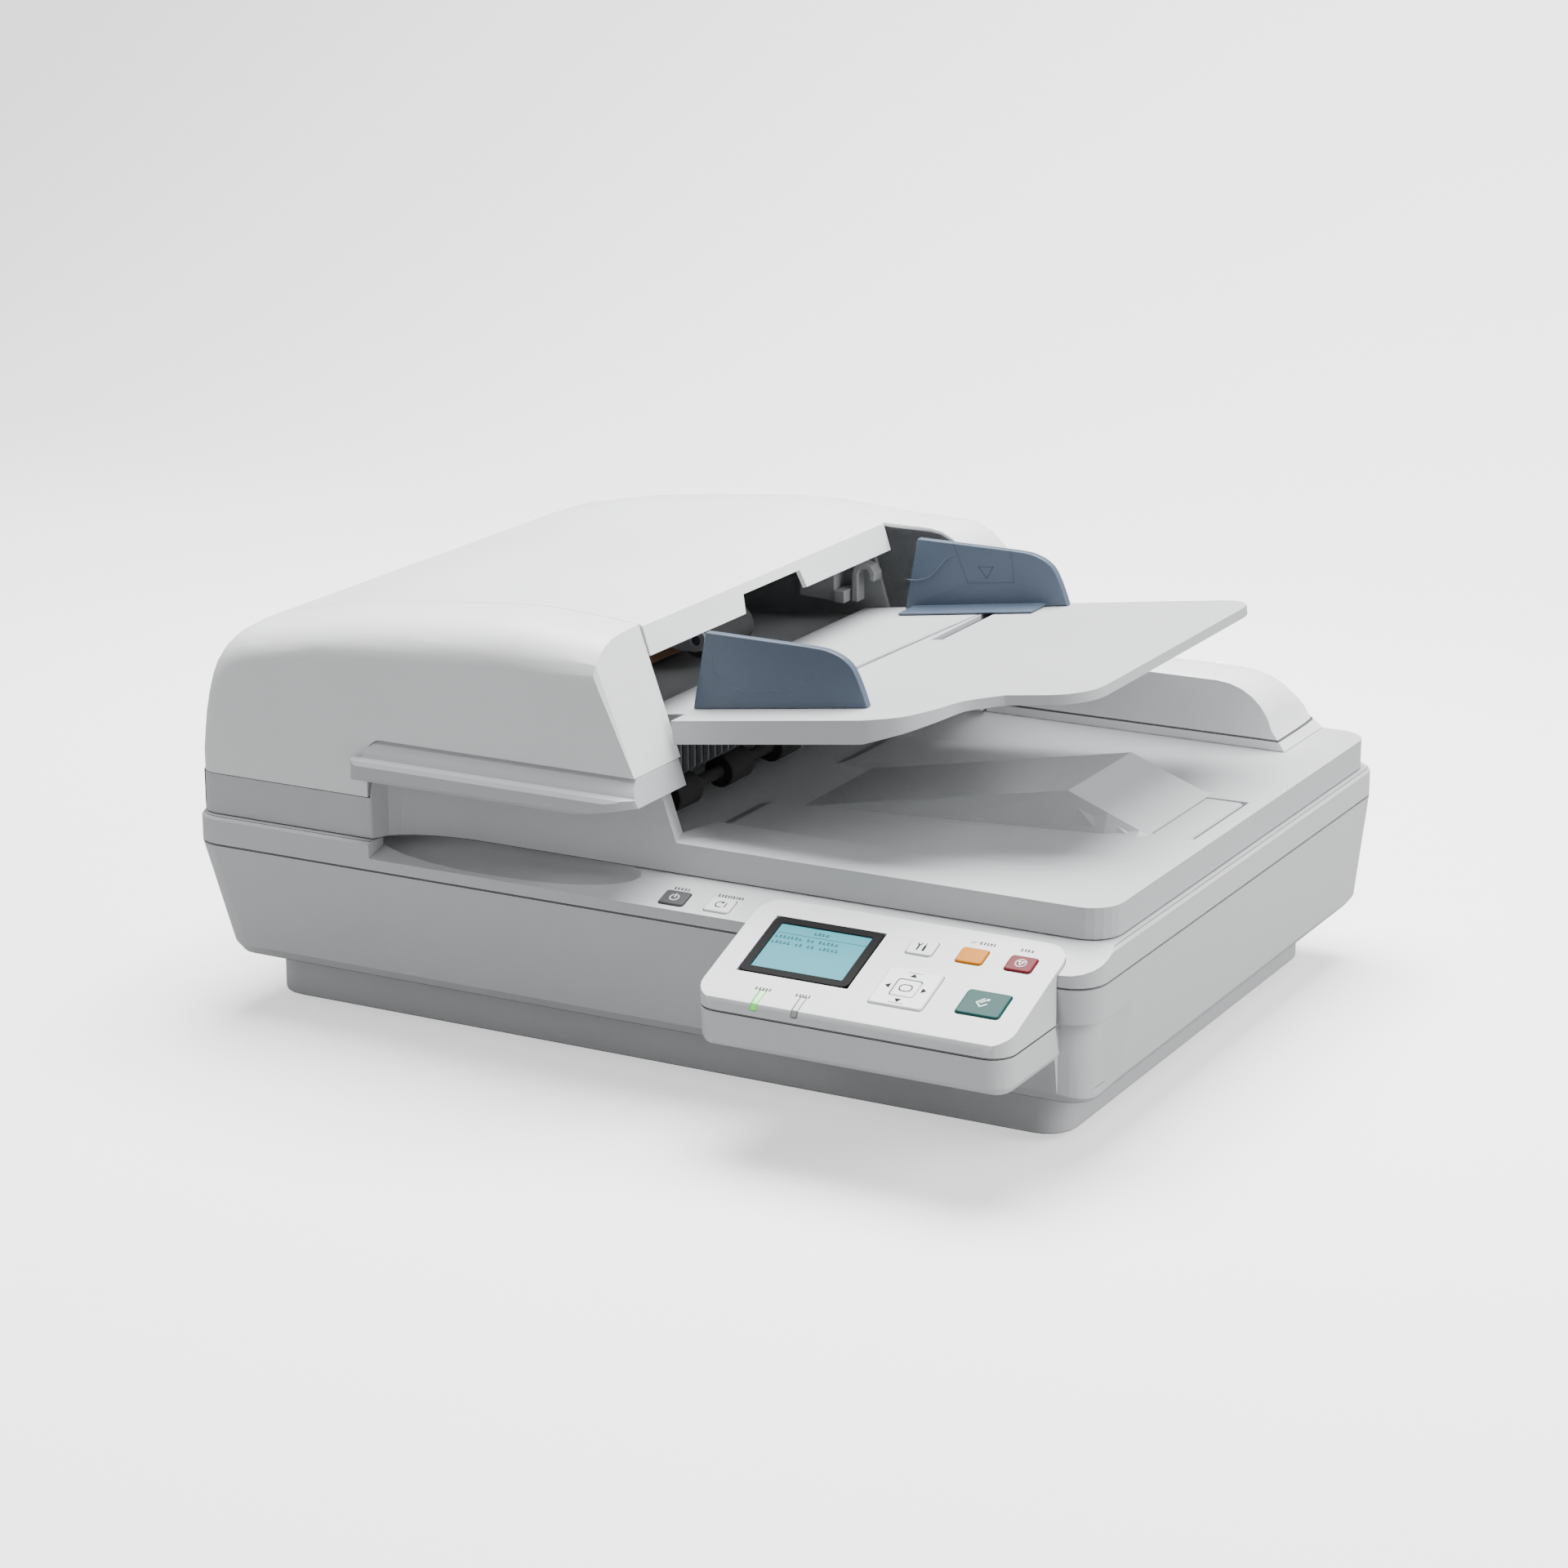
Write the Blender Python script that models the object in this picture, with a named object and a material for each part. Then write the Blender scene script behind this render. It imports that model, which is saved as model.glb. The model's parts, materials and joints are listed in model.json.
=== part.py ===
"""Flatbed document scanner with a sheet feeder in its lid. Metres, +Z up, front at -Y.

The origin is on the floor, under the middle of the whole object. Sheets go in from the right, turn round
inside the feeder at the left, pass over the feed glass and come out on top of the lid.
"""

from math import atan2, cos, hypot, pi, radians, sin, tan

import bmesh
import bpy

# ---------------------------------------------------------------- driving dimensions
CASE_WIDTH = 0.468
CASE_DEPTH = 0.345
PANEL_REACH = 0.051  # how far the control panel stands out in front of the case
FOOT_HEIGHT = 0.004
PAN_HEIGHT = 0.0233
LOWER_HEIGHT = 0.0561
UPPER_HEIGHT = 0.0137
LID_EDGE = 0.0145  # height of the lid's border
BAND_HEIGHT = 0.0197  # height of the lid's wall round the feeder
HANDLE_RISE = 0.0297  # underside of the handle, above the lid's bottom
HANDLE_THICK = 0.018
FEEDER_RISE = 0.1105  # crown of the top cover, above the lid's bottom
FEEDER_SPAN = 0.243  # left side of the case to the feeder's right face
SHEET_WIDTH = 0.210  # between the edge guides at rest
WALL = 0.0025
GAP = 0.0003  # between pieces that touch
SLIDE_GAP = 0.0006  # between pieces that move past each other
CORNER = 0.015

# ---------------------------------------------------------------- levels and edges worked out from them
X_RIGHT = CASE_WIDTH / 2
X_LEFT = -X_RIGHT
Y_BACK = (CASE_DEPTH + PANEL_REACH) / 2
Y_FRONT = Y_BACK - CASE_DEPTH
Y_PANEL = -Y_BACK

Z_PAN = FOOT_HEIGHT
Z_LOWER = Z_PAN + PAN_HEIGHT + GAP
Z_UPPER = Z_LOWER + LOWER_HEIGHT + GAP
Z_DECK = Z_UPPER + UPPER_HEIGHT
Z_LID = Z_DECK + GAP
Z_BORDER = Z_LID + LID_EDGE
Z_BAND = Z_LID + BAND_HEIGHT
Z_HANDLE = Z_LID + HANDLE_RISE
Z_FOOT_OF_COVER = Z_HANDLE + GAP + HANDLE_THICK + GAP
Z_CROWN = Z_LID + FEEDER_RISE

PAPER_Y = Y_FRONT + 0.1712  # middle of the sheet
FEED_FACE_SLOPE = 0.317  # the feeder's right face leans back as it rises
SEAM_FRONT = Y_FRONT + 0.0455  # where the top cover meets the front end cover
SEAM_REAR = Y_BACK - 0.0595

materials = {}


# ---------------------------------------------------------------- modelling helpers
def finish(obj, name, colour, roughness=0.5, metallic=0.0):
    """Gives the object its material, made once for each finish."""
    if name not in materials:
        material = bpy.data.materials.new(name)
        material.use_nodes = True
        shader = material.node_tree.nodes["Principled BSDF"]
        shader.inputs["Base Color"].default_value = (*colour, 1.0)
        shader.inputs["Roughness"].default_value = roughness
        shader.inputs["Metallic"].default_value = metallic
        materials[name] = material
    obj.data.materials.append(materials[name])
    return obj


def white(obj):
    return finish(obj, "white_shell", (0.86, 0.87, 0.88), 0.45)


def light_grey(obj):
    return finish(obj, "light_grey_shell", (0.72, 0.73, 0.74), 0.5)


def dark_grey(obj):
    return finish(obj, "dark_grey_plastic", (0.08, 0.08, 0.085), 0.55)


def mid_grey(obj):
    return finish(obj, "mid_grey_plastic", (0.30, 0.31, 0.32), 0.5)


def rubber(obj):
    return finish(obj, "rubber", (0.03, 0.03, 0.03), 0.8)


def steel(obj):
    return finish(obj, "steel", (0.60, 0.61, 0.62), 0.3, 1.0)


def board(obj):
    return finish(obj, "circuit_board", (0.03, 0.22, 0.10), 0.5)


def new_object(name, mesh, parent=None):
    obj = bpy.data.objects.new(name, mesh)
    bpy.context.scene.collection.objects.link(obj)
    obj.parent = parent
    return obj


def mesh_of(name, points, faces):
    """A mesh from points and faces, with its faces turned outwards."""
    mesh = bpy.data.meshes.new(name)
    mesh.from_pydata(points, [], faces)
    work = bmesh.new()
    work.from_mesh(mesh)
    bmesh.ops.recalc_face_normals(work, faces=work.faces)
    work.to_mesh(mesh)
    work.free()
    return mesh


def loft(name, rings, parent=None):
    """A closed body through rings of equally many points, with a face across each end."""
    count = len(rings[0])
    points = [point for ring in rings for point in ring]
    faces = [
        (j * count + i, j * count + (i + 1) % count, (j + 1) * count + (i + 1) % count, (j + 1) * count + i)
        for j in range(len(rings) - 1)
        for i in range(count)
    ]
    faces.append(tuple(range(count)))
    faces.append(tuple(range((len(rings) - 1) * count, len(rings) * count)))
    return new_object(name, mesh_of(name, points, faces), parent)


def block(name, low, high, parent=None):
    outline = [(low[0], low[1]), (high[0], low[1]), (high[0], high[1]), (low[0], high[1])]
    return loft(name, [at_height(outline, low[2]), at_height(outline, high[2])], parent)


def at_height(outline, z):
    return [(x, y, z) for x, y in outline]


def rounded(x0, x1, y0, y1, radii, steps=5):
    """A rectangle's outline with round corners: front left, front right, back right, back left."""
    if not isinstance(radii, tuple):
        radii = (radii,) * 4
    corners = ((x0, y0, 1, 1, pi), (x1, y0, -1, 1, 1.5 * pi), (x1, y1, -1, -1, 0),
               (x0, y1, 1, -1, 0.5 * pi))
    outline = []
    for (x, y, inward_x, inward_y, start), radius in zip(corners, radii):
        centre_x = x + inward_x * radius
        centre_y = y + inward_y * radius
        for step in range(steps + 1):
            angle = start + 0.5 * pi * step / steps
            outline.append((centre_x + radius * cos(angle), centre_y + radius * sin(angle)))
    return outline


def prism(name, profile, axis, low, high, parent=None):
    """A profile carried along an axis: (y, z) along X, (x, z) along Y, (x, y) along Z."""
    place = {
        "X": lambda point, at: (at, point[0], point[1]),
        "Y": lambda point, at: (point[0], at, point[1]),
        "Z": lambda point, at: (point[0], point[1], at),
    }[axis]
    return loft(name, [[place(point, at) for point in profile] for at in (low, high)], parent)


def turned(name, stations, axis, centre, sides=24, parent=None):
    """A round body on an axis, from (place along the axis, radius) stations."""
    rings = []
    for at, radius in stations:
        ring = []
        for step in range(sides):
            angle = 2 * pi * step / sides
            across, up = radius * cos(angle), radius * sin(angle)
            if axis == "X":
                ring.append((at, centre[0] + across, centre[1] + up))
            elif axis == "Y":
                ring.append((centre[0] + across, at, centre[1] + up))
            else:
                ring.append((centre[0] + across, centre[1] + up, at))
        rings.append(ring)
    obj = loft(name, rings, parent)
    obj.data.shade_smooth()
    obj.data.set_sharp_from_angle(angle=radians(35))
    return obj


def offset_path(path, distance):
    """The path moved to its right-hand side, with mitred corners."""
    moved = []
    for i, (x, z) in enumerate(path):
        before = path[max(i - 1, 0)]
        after = path[min(i + 1, len(path) - 1)]
        normals = []
        for start, end in ((before, (x, z)), ((x, z), after)):
            length = hypot(end[0] - start[0], end[1] - start[1])
            if length > 0:
                normals.append(((end[1] - start[1]) / length, -(end[0] - start[0]) / length))
        nx = sum(n[0] for n in normals) / len(normals)
        nz = sum(n[1] for n in normals) / len(normals)
        square = nx * nx + nz * nz
        moved.append((x + distance * nx / square, z + distance * nz / square))
    return moved


def sheet_profile(path, thickness):
    """The closed outline of a sheet that follows a path."""
    return path + offset_path(path, thickness)[::-1]


def smooth_path(points, steps=3):
    """A smooth curve through the points, from the Catmull-Rom formula."""
    ends = [points[0], *points, points[-1]]
    path = []
    for a, b, c, d in zip(ends, ends[1:], ends[2:], ends[3:]):
        for step in range(steps):
            t = step / steps
            path.append(
                tuple(
                    0.5 * (2 * q + (r - p) * t + (2 * p - 5 * q + 4 * r - s) * t**2 + (3 * q - p - 3 * r + s) * t**3)
                    for p, q, r, s in zip(a, b, c, d)
                )
            )
    path.append(tuple(points[-1]))
    return path


def boolean(obj, other, operation):
    """Applies the other body to this one, and keeps the other out of the render."""
    modifier = obj.modifiers.new(other.name, "BOOLEAN")
    modifier.operation = operation
    modifier.object = other
    other.hide_render = True
    other.display_type = "WIRE"
    return obj


def cut(obj, *cutters):
    for cutter in cutters:
        boolean(obj, cutter, "DIFFERENCE")
    return obj


def fuse(obj, *others):
    for other in others:
        boolean(obj, other, "UNION")
    return obj


def pivot(name, place, tilt=(0, 0, 0)):
    """An empty on a joint's axis, or on a tilted face, for the pieces that belong to it."""
    empty = bpy.data.objects.new(name, None)
    bpy.context.scene.collection.objects.link(empty)
    empty.location = place
    empty.rotation_euler = tilt
    return empty


def clear_scene():
    for obj in list(bpy.data.objects):
        bpy.data.objects.remove(obj)


# ---------------------------------------------------------------- base: pan, lower case, feet
PAN_INSET_X = 0.0248
PAN_INSET_Y = 0.0283
FOOT_RADIUS = 0.009
FOOT_INSET = 0.030
LOWER_TAPER_LEFT = 0.010
LOWER_TAPER_RIGHT = 0.0043
LOWER_TAPER_FRONT = 0.0088
LOWER_TAPER_BACK = 0.005


def base_pan():
    x = X_RIGHT - PAN_INSET_X
    front, back = Y_FRONT + PAN_INSET_Y, Y_BACK - PAN_INSET_Y
    outer = rounded(-x, x, front, back, CORNER)
    inner = rounded(-x + WALL, x - WALL, front + WALL, back - WALL, CORNER - WALL)
    top = Z_PAN + PAN_HEIGHT
    pan = loft("base_pan", [at_height(outer, Z_PAN), at_height(outer, top), at_height(inner, top),
                            at_height(inner, Z_PAN + WALL)])
    light_grey(pan)
    for end, y in (("front", front + FOOT_INSET), ("rear", back - FOOT_INSET)):
        for side, foot_x in (("left", -x + FOOT_INSET), ("right", x - FOOT_INSET)):
            stations = [(0, FOOT_RADIUS - 0.001), (0.001, FOOT_RADIUS), (Z_PAN - GAP, FOOT_RADIUS)]
            rubber(turned(f"foot_{end}_{side}", stations, "Z", (foot_x, y), sides=20))


def lower_wall_y(z):
    """Where the lower case's front face is at a height: it leans out as it rises."""
    return Y_FRONT + LOWER_TAPER_FRONT * (Z_LOWER + LOWER_HEIGHT - z) / LOWER_HEIGHT


def lower_back_y(z):
    return Y_BACK - LOWER_TAPER_BACK * (Z_LOWER + LOWER_HEIGHT - z) / LOWER_HEIGHT


CORNER_RECESS_FRONT = 0.0088  # the hollow grip in the lower case's front right corner, from its top outline
CORNER_RECESS_SIDE = 0.0070
CORNER_RECESS_END = 0.050  # where it fades out along the right side, from the front
CORNER_CAP = 0.017
PORT_Z = 0.046
INLET_X = X_RIGHT - 0.075
DATA_X = INLET_X - 0.040


def corner_backing(inset):
    """Plan of the recess's inner wall, which meets the side wall again at the recess's end."""
    side = X_RIGHT - CORNER_RECESS_SIDE - inset
    front = Y_FRONT + CORNER_RECESS_FRONT + inset
    corner = CORNER - inset
    outline = [(X_LEFT, Y_BACK), (X_LEFT, front)]
    for step in range(7):
        angle = 0.5 * pi * step / 6
        outline.append((side - corner + corner * sin(angle), front + corner - corner * cos(angle)))
    outline += [(side, Y_FRONT + 0.030), (side + 0.0025, Y_FRONT + 0.040),
                (X_RIGHT - 0.0005 - inset, Y_FRONT + CORNER_RECESS_END), (X_RIGHT - 0.0005 - inset, Y_BACK)]
    return outline


def lower_case():
    top = Z_LOWER + LOWER_HEIGHT
    low_outline = (X_LEFT + LOWER_TAPER_LEFT, X_RIGHT - LOWER_TAPER_RIGHT,
                   Y_FRONT + LOWER_TAPER_FRONT, Y_BACK - LOWER_TAPER_BACK)
    high_outline = (X_LEFT, X_RIGHT, Y_FRONT, Y_BACK)

    def ring(box, inset, z):
        x0, x1, y0, y1 = box
        return at_height(rounded(x0 + inset, x1 - inset, y0 + inset, y1 - inset, CORNER - inset), z)

    case = loft("lower_case", [ring(low_outline, 0.004, Z_LOWER), ring(low_outline, 0, Z_LOWER + 0.005),
                               ring(high_outline, 0, top), ring(high_outline, WALL, top),
                               ring(low_outline, WALL, Z_LOWER + 0.006),
                               ring(low_outline, 0.004 + WALL, Z_LOWER + WALL)])
    light_grey(case)
    recess_end = Y_FRONT + CORNER_RECESS_END
    recess = block("corner_recess_cutter", (PANEL_RIGHT - 0.003, Y_FRONT - 0.01, Z_LOWER - 0.001),
                   (X_RIGHT + 0.01, recess_end, top - CORNER_CAP))
    cut(recess, prism("corner_backing", corner_backing(0), "Z", Z_LOWER - 0.002, top))
    flank_x = PANEL_RIGHT - 0.003
    flank = block("corner_flank", (flank_x - WALL, Y_FRONT, Z_LOWER + 0.006),
                  (flank_x, Y_FRONT + CORNER_RECESS_FRONT + WALL - 0.0005, top - CORNER_CAP + WALL))
    boolean(flank, loft("flank_limit", [ring(low_outline, GAP, Z_LOWER), ring(high_outline, GAP, top)]),
            "INTERSECT")
    fuse(case, flank)
    filling = block("corner_filling", (flank_x - WALL, Y_FRONT + 0.004, Z_LOWER + 0.006),
                    (X_RIGHT - LOWER_TAPER_RIGHT, recess_end + WALL, top - CORNER_CAP + WALL))
    boolean(filling, prism("corner_skin", corner_backing(-GAP), "Z", Z_LOWER, top), "INTERSECT")
    cut(filling, prism("corner_hollow", corner_backing(WALL), "Z", Z_LOWER, top))
    fuse(case, filling)
    cut(case, recess)
    for name, x, size in (("inlet_hole", INLET_X, INLET_SIZE), ("data_hole", DATA_X, DATA_SIZE)):
        cut(case, block(name, (x - size[0] / 2 - GAP, Y_BACK - 0.02, PORT_Z - size[1] / 2 - GAP),
                        (x + size[0] / 2 + GAP, Y_BACK + 0.01, PORT_Z + size[1] / 2 + GAP)))


INLET_SIZE = (0.012, 0.012)
DATA_SIZE = (0.014, 0.0125)
PORT_DEPTH = 0.014
SOCKET_DEPTH = 0.010


def ports():
    face = lower_back_y(PORT_Z) - 0.001
    inlet = block("power_inlet", (INLET_X - INLET_SIZE[0] / 2, face - PORT_DEPTH,
                                  PORT_Z - INLET_SIZE[1] / 2),
                  (INLET_X + INLET_SIZE[0] / 2, face, PORT_Z + INLET_SIZE[1] / 2))
    dark_grey(inlet)
    barrel = turned("inlet_barrel", [(face - SOCKET_DEPTH, 0.0035), (face + 0.001, 0.0035)], "Y",
                    (INLET_X, PORT_Z))
    pin = turned("inlet_pin", [(face - SOCKET_DEPTH - 0.001, 0.001), (face - 0.001, 0.001)], "Y",
                 (INLET_X, PORT_Z), sides=12)
    cut(inlet, cut(barrel, pin))
    port = block("data_port", (DATA_X - DATA_SIZE[0] / 2, face - PORT_DEPTH, PORT_Z - DATA_SIZE[1] / 2),
                 (DATA_X + DATA_SIZE[0] / 2, face, PORT_Z + DATA_SIZE[1] / 2))
    steel(port)
    mouth = block("data_mouth", (DATA_X - 0.0043, face - SOCKET_DEPTH, PORT_Z - 0.004),
                  (DATA_X + 0.0043, face + 0.001, PORT_Z + 0.004))
    tongue = block("data_tongue", (DATA_X - 0.0028, face - SOCKET_DEPTH - 0.001, PORT_Z - 0.0016),
                   (DATA_X + 0.0028, face - 0.001, PORT_Z + 0.0016))
    cut(port, cut(mouth, tongue))


# ---------------------------------------------------------------- base: upper case, glasses
STRIP_DEPTH = 0.0248  # sloping front strip of the upper case, front to back
STRIP_DROP = 0.008
STRIP_TILT = atan2(STRIP_DROP, STRIP_DEPTH)
STRIP_LEFT = X_LEFT + 0.102  # the strip starts where the lid's proud corner ends
LID_SET_BACK = STRIP_DEPTH
PLATEN_LEFT = X_LEFT + 0.084
PLATEN_LENGTH = 0.300
PLATEN_WIDTH = 0.218
FEED_GLASS_LEFT = X_LEFT + 0.038
FEED_GLASS_LENGTH = 0.024
GLASS_THICK = 0.0028
GLASS_LAP = 0.004
DECK_THICK = 0.0027
SCOOP_LENGTH = 0.142
SCOOP_DEEP = 0.0100  # under the deck, at its lowest
SCOOP_SKIN = 0.002


def strip_z(y):
    return Z_DECK - STRIP_DROP * (Y_FRONT + STRIP_DEPTH - y) / STRIP_DEPTH


def scoop_shape(name, swell):
    """A long bowl pressed into the front strip, for the fingers that lift the lid."""
    right = POWER_X - 0.0235
    centre = right - SCOOP_LENGTH / 2
    sides, levels = 24, 6
    rings = []
    for level in range(levels):
        angle = 0.5 * pi * level / levels
        ring = []
        for step in range(sides):
            turn = 2 * pi * step / sides
            x = centre + (SCOOP_LENGTH / 2 + swell) * cos(angle) * cos(turn)
            y = Y_FRONT + 0.019 + (0.0165 + swell) * cos(angle) * sin(turn)
            rim = min(strip_z(y), Z_DECK) + 0.0005
            floor = Z_DECK - SCOOP_DEEP - swell
            ring.append((x, y, rim + (floor - rim) * sin(angle) ** 0.8))
        rings.append(ring)
    top = [(x, y, Z_DECK + 0.02) for x, y, z in rings[0]]
    return loft(name, [top, *rings])


def upper_case():
    outline = rounded(X_LEFT, X_RIGHT, Y_FRONT, Y_BACK, CORNER)
    inset = rounded(X_LEFT + 0.0015, X_RIGHT - 0.0015, Y_FRONT + 0.0015, Y_BACK - 0.0015, CORNER - 0.0015)
    case = loft("upper_case", [at_height(outline, Z_UPPER), at_height(outline, Z_DECK - 0.0015),
                               at_height(inset, Z_DECK)])
    light_grey(case)
    back_of_strip = Y_FRONT + STRIP_DEPTH
    wedge = [(back_of_strip, Z_DECK), (Y_FRONT, strip_z(Y_FRONT)),
             (Y_FRONT - 0.01, strip_z(Y_FRONT - 0.01)),
             (Y_FRONT - 0.01, Z_DECK + 0.01), (back_of_strip, Z_DECK + 0.01)]
    cut(case, prism("strip_cutter", wedge, "X", STRIP_LEFT, X_RIGHT + 0.01))
    under = Z_DECK - DECK_THICK
    front = Y_FRONT + WALL
    hollow = [(front, Z_UPPER - 0.01), (front, strip_z(front) - DECK_THICK), (back_of_strip, under),
              (Y_BACK - WALL, under), (Y_BACK - WALL, Z_UPPER - 0.01)]
    hollow = prism("upper_hollow", hollow, "X", X_LEFT + WALL, X_RIGHT - WALL)
    corners = prism("upper_hollow_corners",
                    rounded(X_LEFT + WALL, X_RIGHT - WALL, Y_FRONT + WALL, Y_BACK - WALL, CORNER - WALL),
                    "Z", Z_UPPER - 0.02, Z_DECK + 0.01)
    boolean(hollow, corners, "INTERSECT")
    cut(hollow, scoop_shape("scoop_skin", SCOOP_SKIN))
    cut(case, hollow, scoop_shape("scoop_cutter", 0))
    for name, left, length in (("platen_window", PLATEN_LEFT, PLATEN_LENGTH),
                               ("feed_window", FEED_GLASS_LEFT, FEED_GLASS_LENGTH)):
        cut(case, block(name, (left, PAPER_Y - PLATEN_WIDTH / 2, Z_UPPER),
                        (left + length, PAPER_Y + PLATEN_WIDTH / 2, Z_DECK + 0.01)))
    notch = rounded(PANEL_LEFT - GAP, PANEL_RIGHT + GAP, Y_FRONT - 0.02, PANEL_BACK + GAP,
                    (0.001, 0.001, PANEL_CORNER + GAP, PANEL_CORNER + GAP), steps=6)
    cut(case, prism("panel_notch", notch, "Z", Z_UPPER - 0.01, Z_DECK + 0.01))
    for x in (HINGE_LEFT_X, HINGE_RIGHT_X):
        half = HINGE_WIDTH / 2 + GAP
        cut(case, block("hinge_slot", (x - half, HINGE_Y - HINGE_LEG / 2 - GAP, Z_UPPER),
                        (x + half, HINGE_Y + HINGE_LEG / 2 + GAP, Z_DECK + 0.01)))
    for x in (POWER_X, WAKE_X):
        cut(case, key_hole("strip_key_hole", strip_face, x, STRIP_KEY_S, KEY_WIDTH, KEY_LENGTH))


def glasses():
    top = Z_DECK - DECK_THICK - GAP
    for name, left, length in (("platen_glass", PLATEN_LEFT, PLATEN_LENGTH),
                               ("feed_glass", FEED_GLASS_LEFT, FEED_GLASS_LENGTH)):
        pane = block(name, (left - GLASS_LAP, PAPER_Y - PLATEN_WIDTH / 2 - GLASS_LAP, top - GLASS_THICK),
                     (left + length + GLASS_LAP, PAPER_Y + PLATEN_WIDTH / 2 + GLASS_LAP, top))
        finish(pane, "glass", (0.80, 0.88, 0.87), 0.05)


# ---------------------------------------------------------------- base: scanning carriage and its drive
ROD_RADIUS = 0.004
ROD_Y = PAPER_Y - 0.055
ROD_Z = Z_LOWER + 0.040
RAIL_Y = PAPER_Y + 0.105
CARRIAGE_LENGTH = 0.030
CARRIAGE_TOP = Z_DECK - DECK_THICK - GAP - GLASS_THICK - 0.0012
CARRIAGE_HOME = FEED_GLASS_LEFT + FEED_GLASS_LENGTH / 2  # under the feed glass
CARRIAGE_TRAVEL = PLATEN_LEFT + PLATEN_LENGTH - CARRIAGE_LENGTH / 2 - CARRIAGE_HOME
PULLEY_RADIUS = 0.006
BELT_Y = ROD_Y - 0.018
BELT_WIDTH = 0.006
BELT_THICK = 0.0012
PULLEY_REACH = 0.012  # pulley centre to the end of the case's inside
FRAME_END = X_RIGHT - WALL - LOWER_TAPER_LEFT - 0.002


def carriage():
    x0, x1 = CARRIAGE_HOME - CARRIAGE_LENGTH / 2, CARRIAGE_HOME + CARRIAGE_LENGTH / 2
    half = PLATEN_WIDTH / 2 + 0.002
    low = ROD_Z - 0.002
    body = block("carriage", (x0, PAPER_Y - half, low), (x1, PAPER_Y + half, CARRIAGE_TOP))
    dark_grey(body)
    slot = ROD_RADIUS + SLIDE_GAP
    cut(body, block("rod_slot", (x0 - 0.01, ROD_Y - slot, low - 0.01),
                    (x1 + 0.01, ROD_Y + slot, ROD_Z + slot)))
    cut(body, block("belt_way", (x0 - 0.01, BELT_Y - 0.006, low - 0.01),
                    (x1 + 0.01, BELT_Y + 0.006, ROD_Z + PULLEY_RADIUS + 0.004)))
    cut(body, block("lens_well", (CARRIAGE_HOME - 0.004, PAPER_Y - half + 0.006, CARRIAGE_TOP - 0.003),
                    (CARRIAGE_HOME + 0.004, PAPER_Y + half - 0.006, CARRIAGE_TOP + 0.01)))
    bar = block("lens_bar", (CARRIAGE_HOME - 0.004 + GAP, PAPER_Y - half + 0.006 + GAP,
                             CARRIAGE_TOP - 0.003 + GAP),
                (CARRIAGE_HOME + 0.004 - GAP, PAPER_Y + half - 0.006 - GAP, CARRIAGE_TOP - 0.0002))
    finish(bar, "glass", (0.80, 0.88, 0.87), 0.05)
    steel(turned("guide_rod", [(-FRAME_END, ROD_RADIUS), (FRAME_END, ROD_RADIUS)], "X", (ROD_Y, ROD_Z)))
    rail_top = low - GAP
    steel(prism("support_rail", [(RAIL_Y - 0.006, rail_top - 0.008), (RAIL_Y + 0.002, rail_top - 0.008),
                                 (RAIL_Y + 0.002, rail_top), (RAIL_Y, rail_top), (RAIL_Y, rail_top - 0.006),
                                 (RAIL_Y - 0.006, rail_top - 0.006)], "X", -FRAME_END, FRAME_END))


def belt_drive():
    centre = FRAME_END - PULLEY_REACH
    half = BELT_WIDTH / 2
    for name, x in (("drive_pulley", -centre), ("idler_pulley", centre)):
        flange = PULLEY_RADIUS + 0.0015
        stations = [(BELT_Y - half - 0.0018, flange), (BELT_Y - half - 0.0006, flange),
                    (BELT_Y - half - 0.0006, PULLEY_RADIUS), (BELT_Y + half + 0.0006, PULLEY_RADIUS),
                    (BELT_Y + half + 0.0006, flange), (BELT_Y + half + 0.0018, flange)]
        finish(turned(name, stations, "Y", (x, ROD_Z)), "nylon", (0.75, 0.74, 0.70), 0.5)
    rings = []
    for radius in (PULLEY_RADIUS + 0.0004, PULLEY_RADIUS + 0.0004 + BELT_THICK):
        loop = []
        for end in (1, -1):
            for step in range(9):
                angle = -0.5 * pi + pi * step / 8
                loop.append((end * (centre + radius * cos(angle)), ROD_Z + end * radius * sin(angle)))
        rings.append(loop)
    inner, outer = rings
    count = len(inner)
    points = [(x, BELT_Y + side * half, z) for side in (-1, 1) for ring in (inner, outer) for x, z in ring]
    faces = []
    for i in range(count):
        j = (i + 1) % count
        a, b, c, d = (count * k for k in range(4))
        faces += [(a + i, a + j, b + j, b + i), (c + i, c + j, d + j, d + i),
                  (a + i, a + j, c + j, c + i), (b + i, b + j, d + j, d + i)]
    rubber(new_object("timing_belt", mesh_of("timing_belt", points, faces)))
    mid_grey(block("carriage_motor", (-centre - 0.010, BELT_Y - 0.040, Z_LOWER + WALL + 0.001),
                   (-centre + 0.026, BELT_Y - 0.006, ROD_Z - 0.003)))
    board(block("main_board", (0.0, RAIL_Y - 0.09, Z_LOWER + 0.012),
                (X_RIGHT - 0.030, Y_BACK - 0.024, Z_LOWER + 0.0136)))


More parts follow.
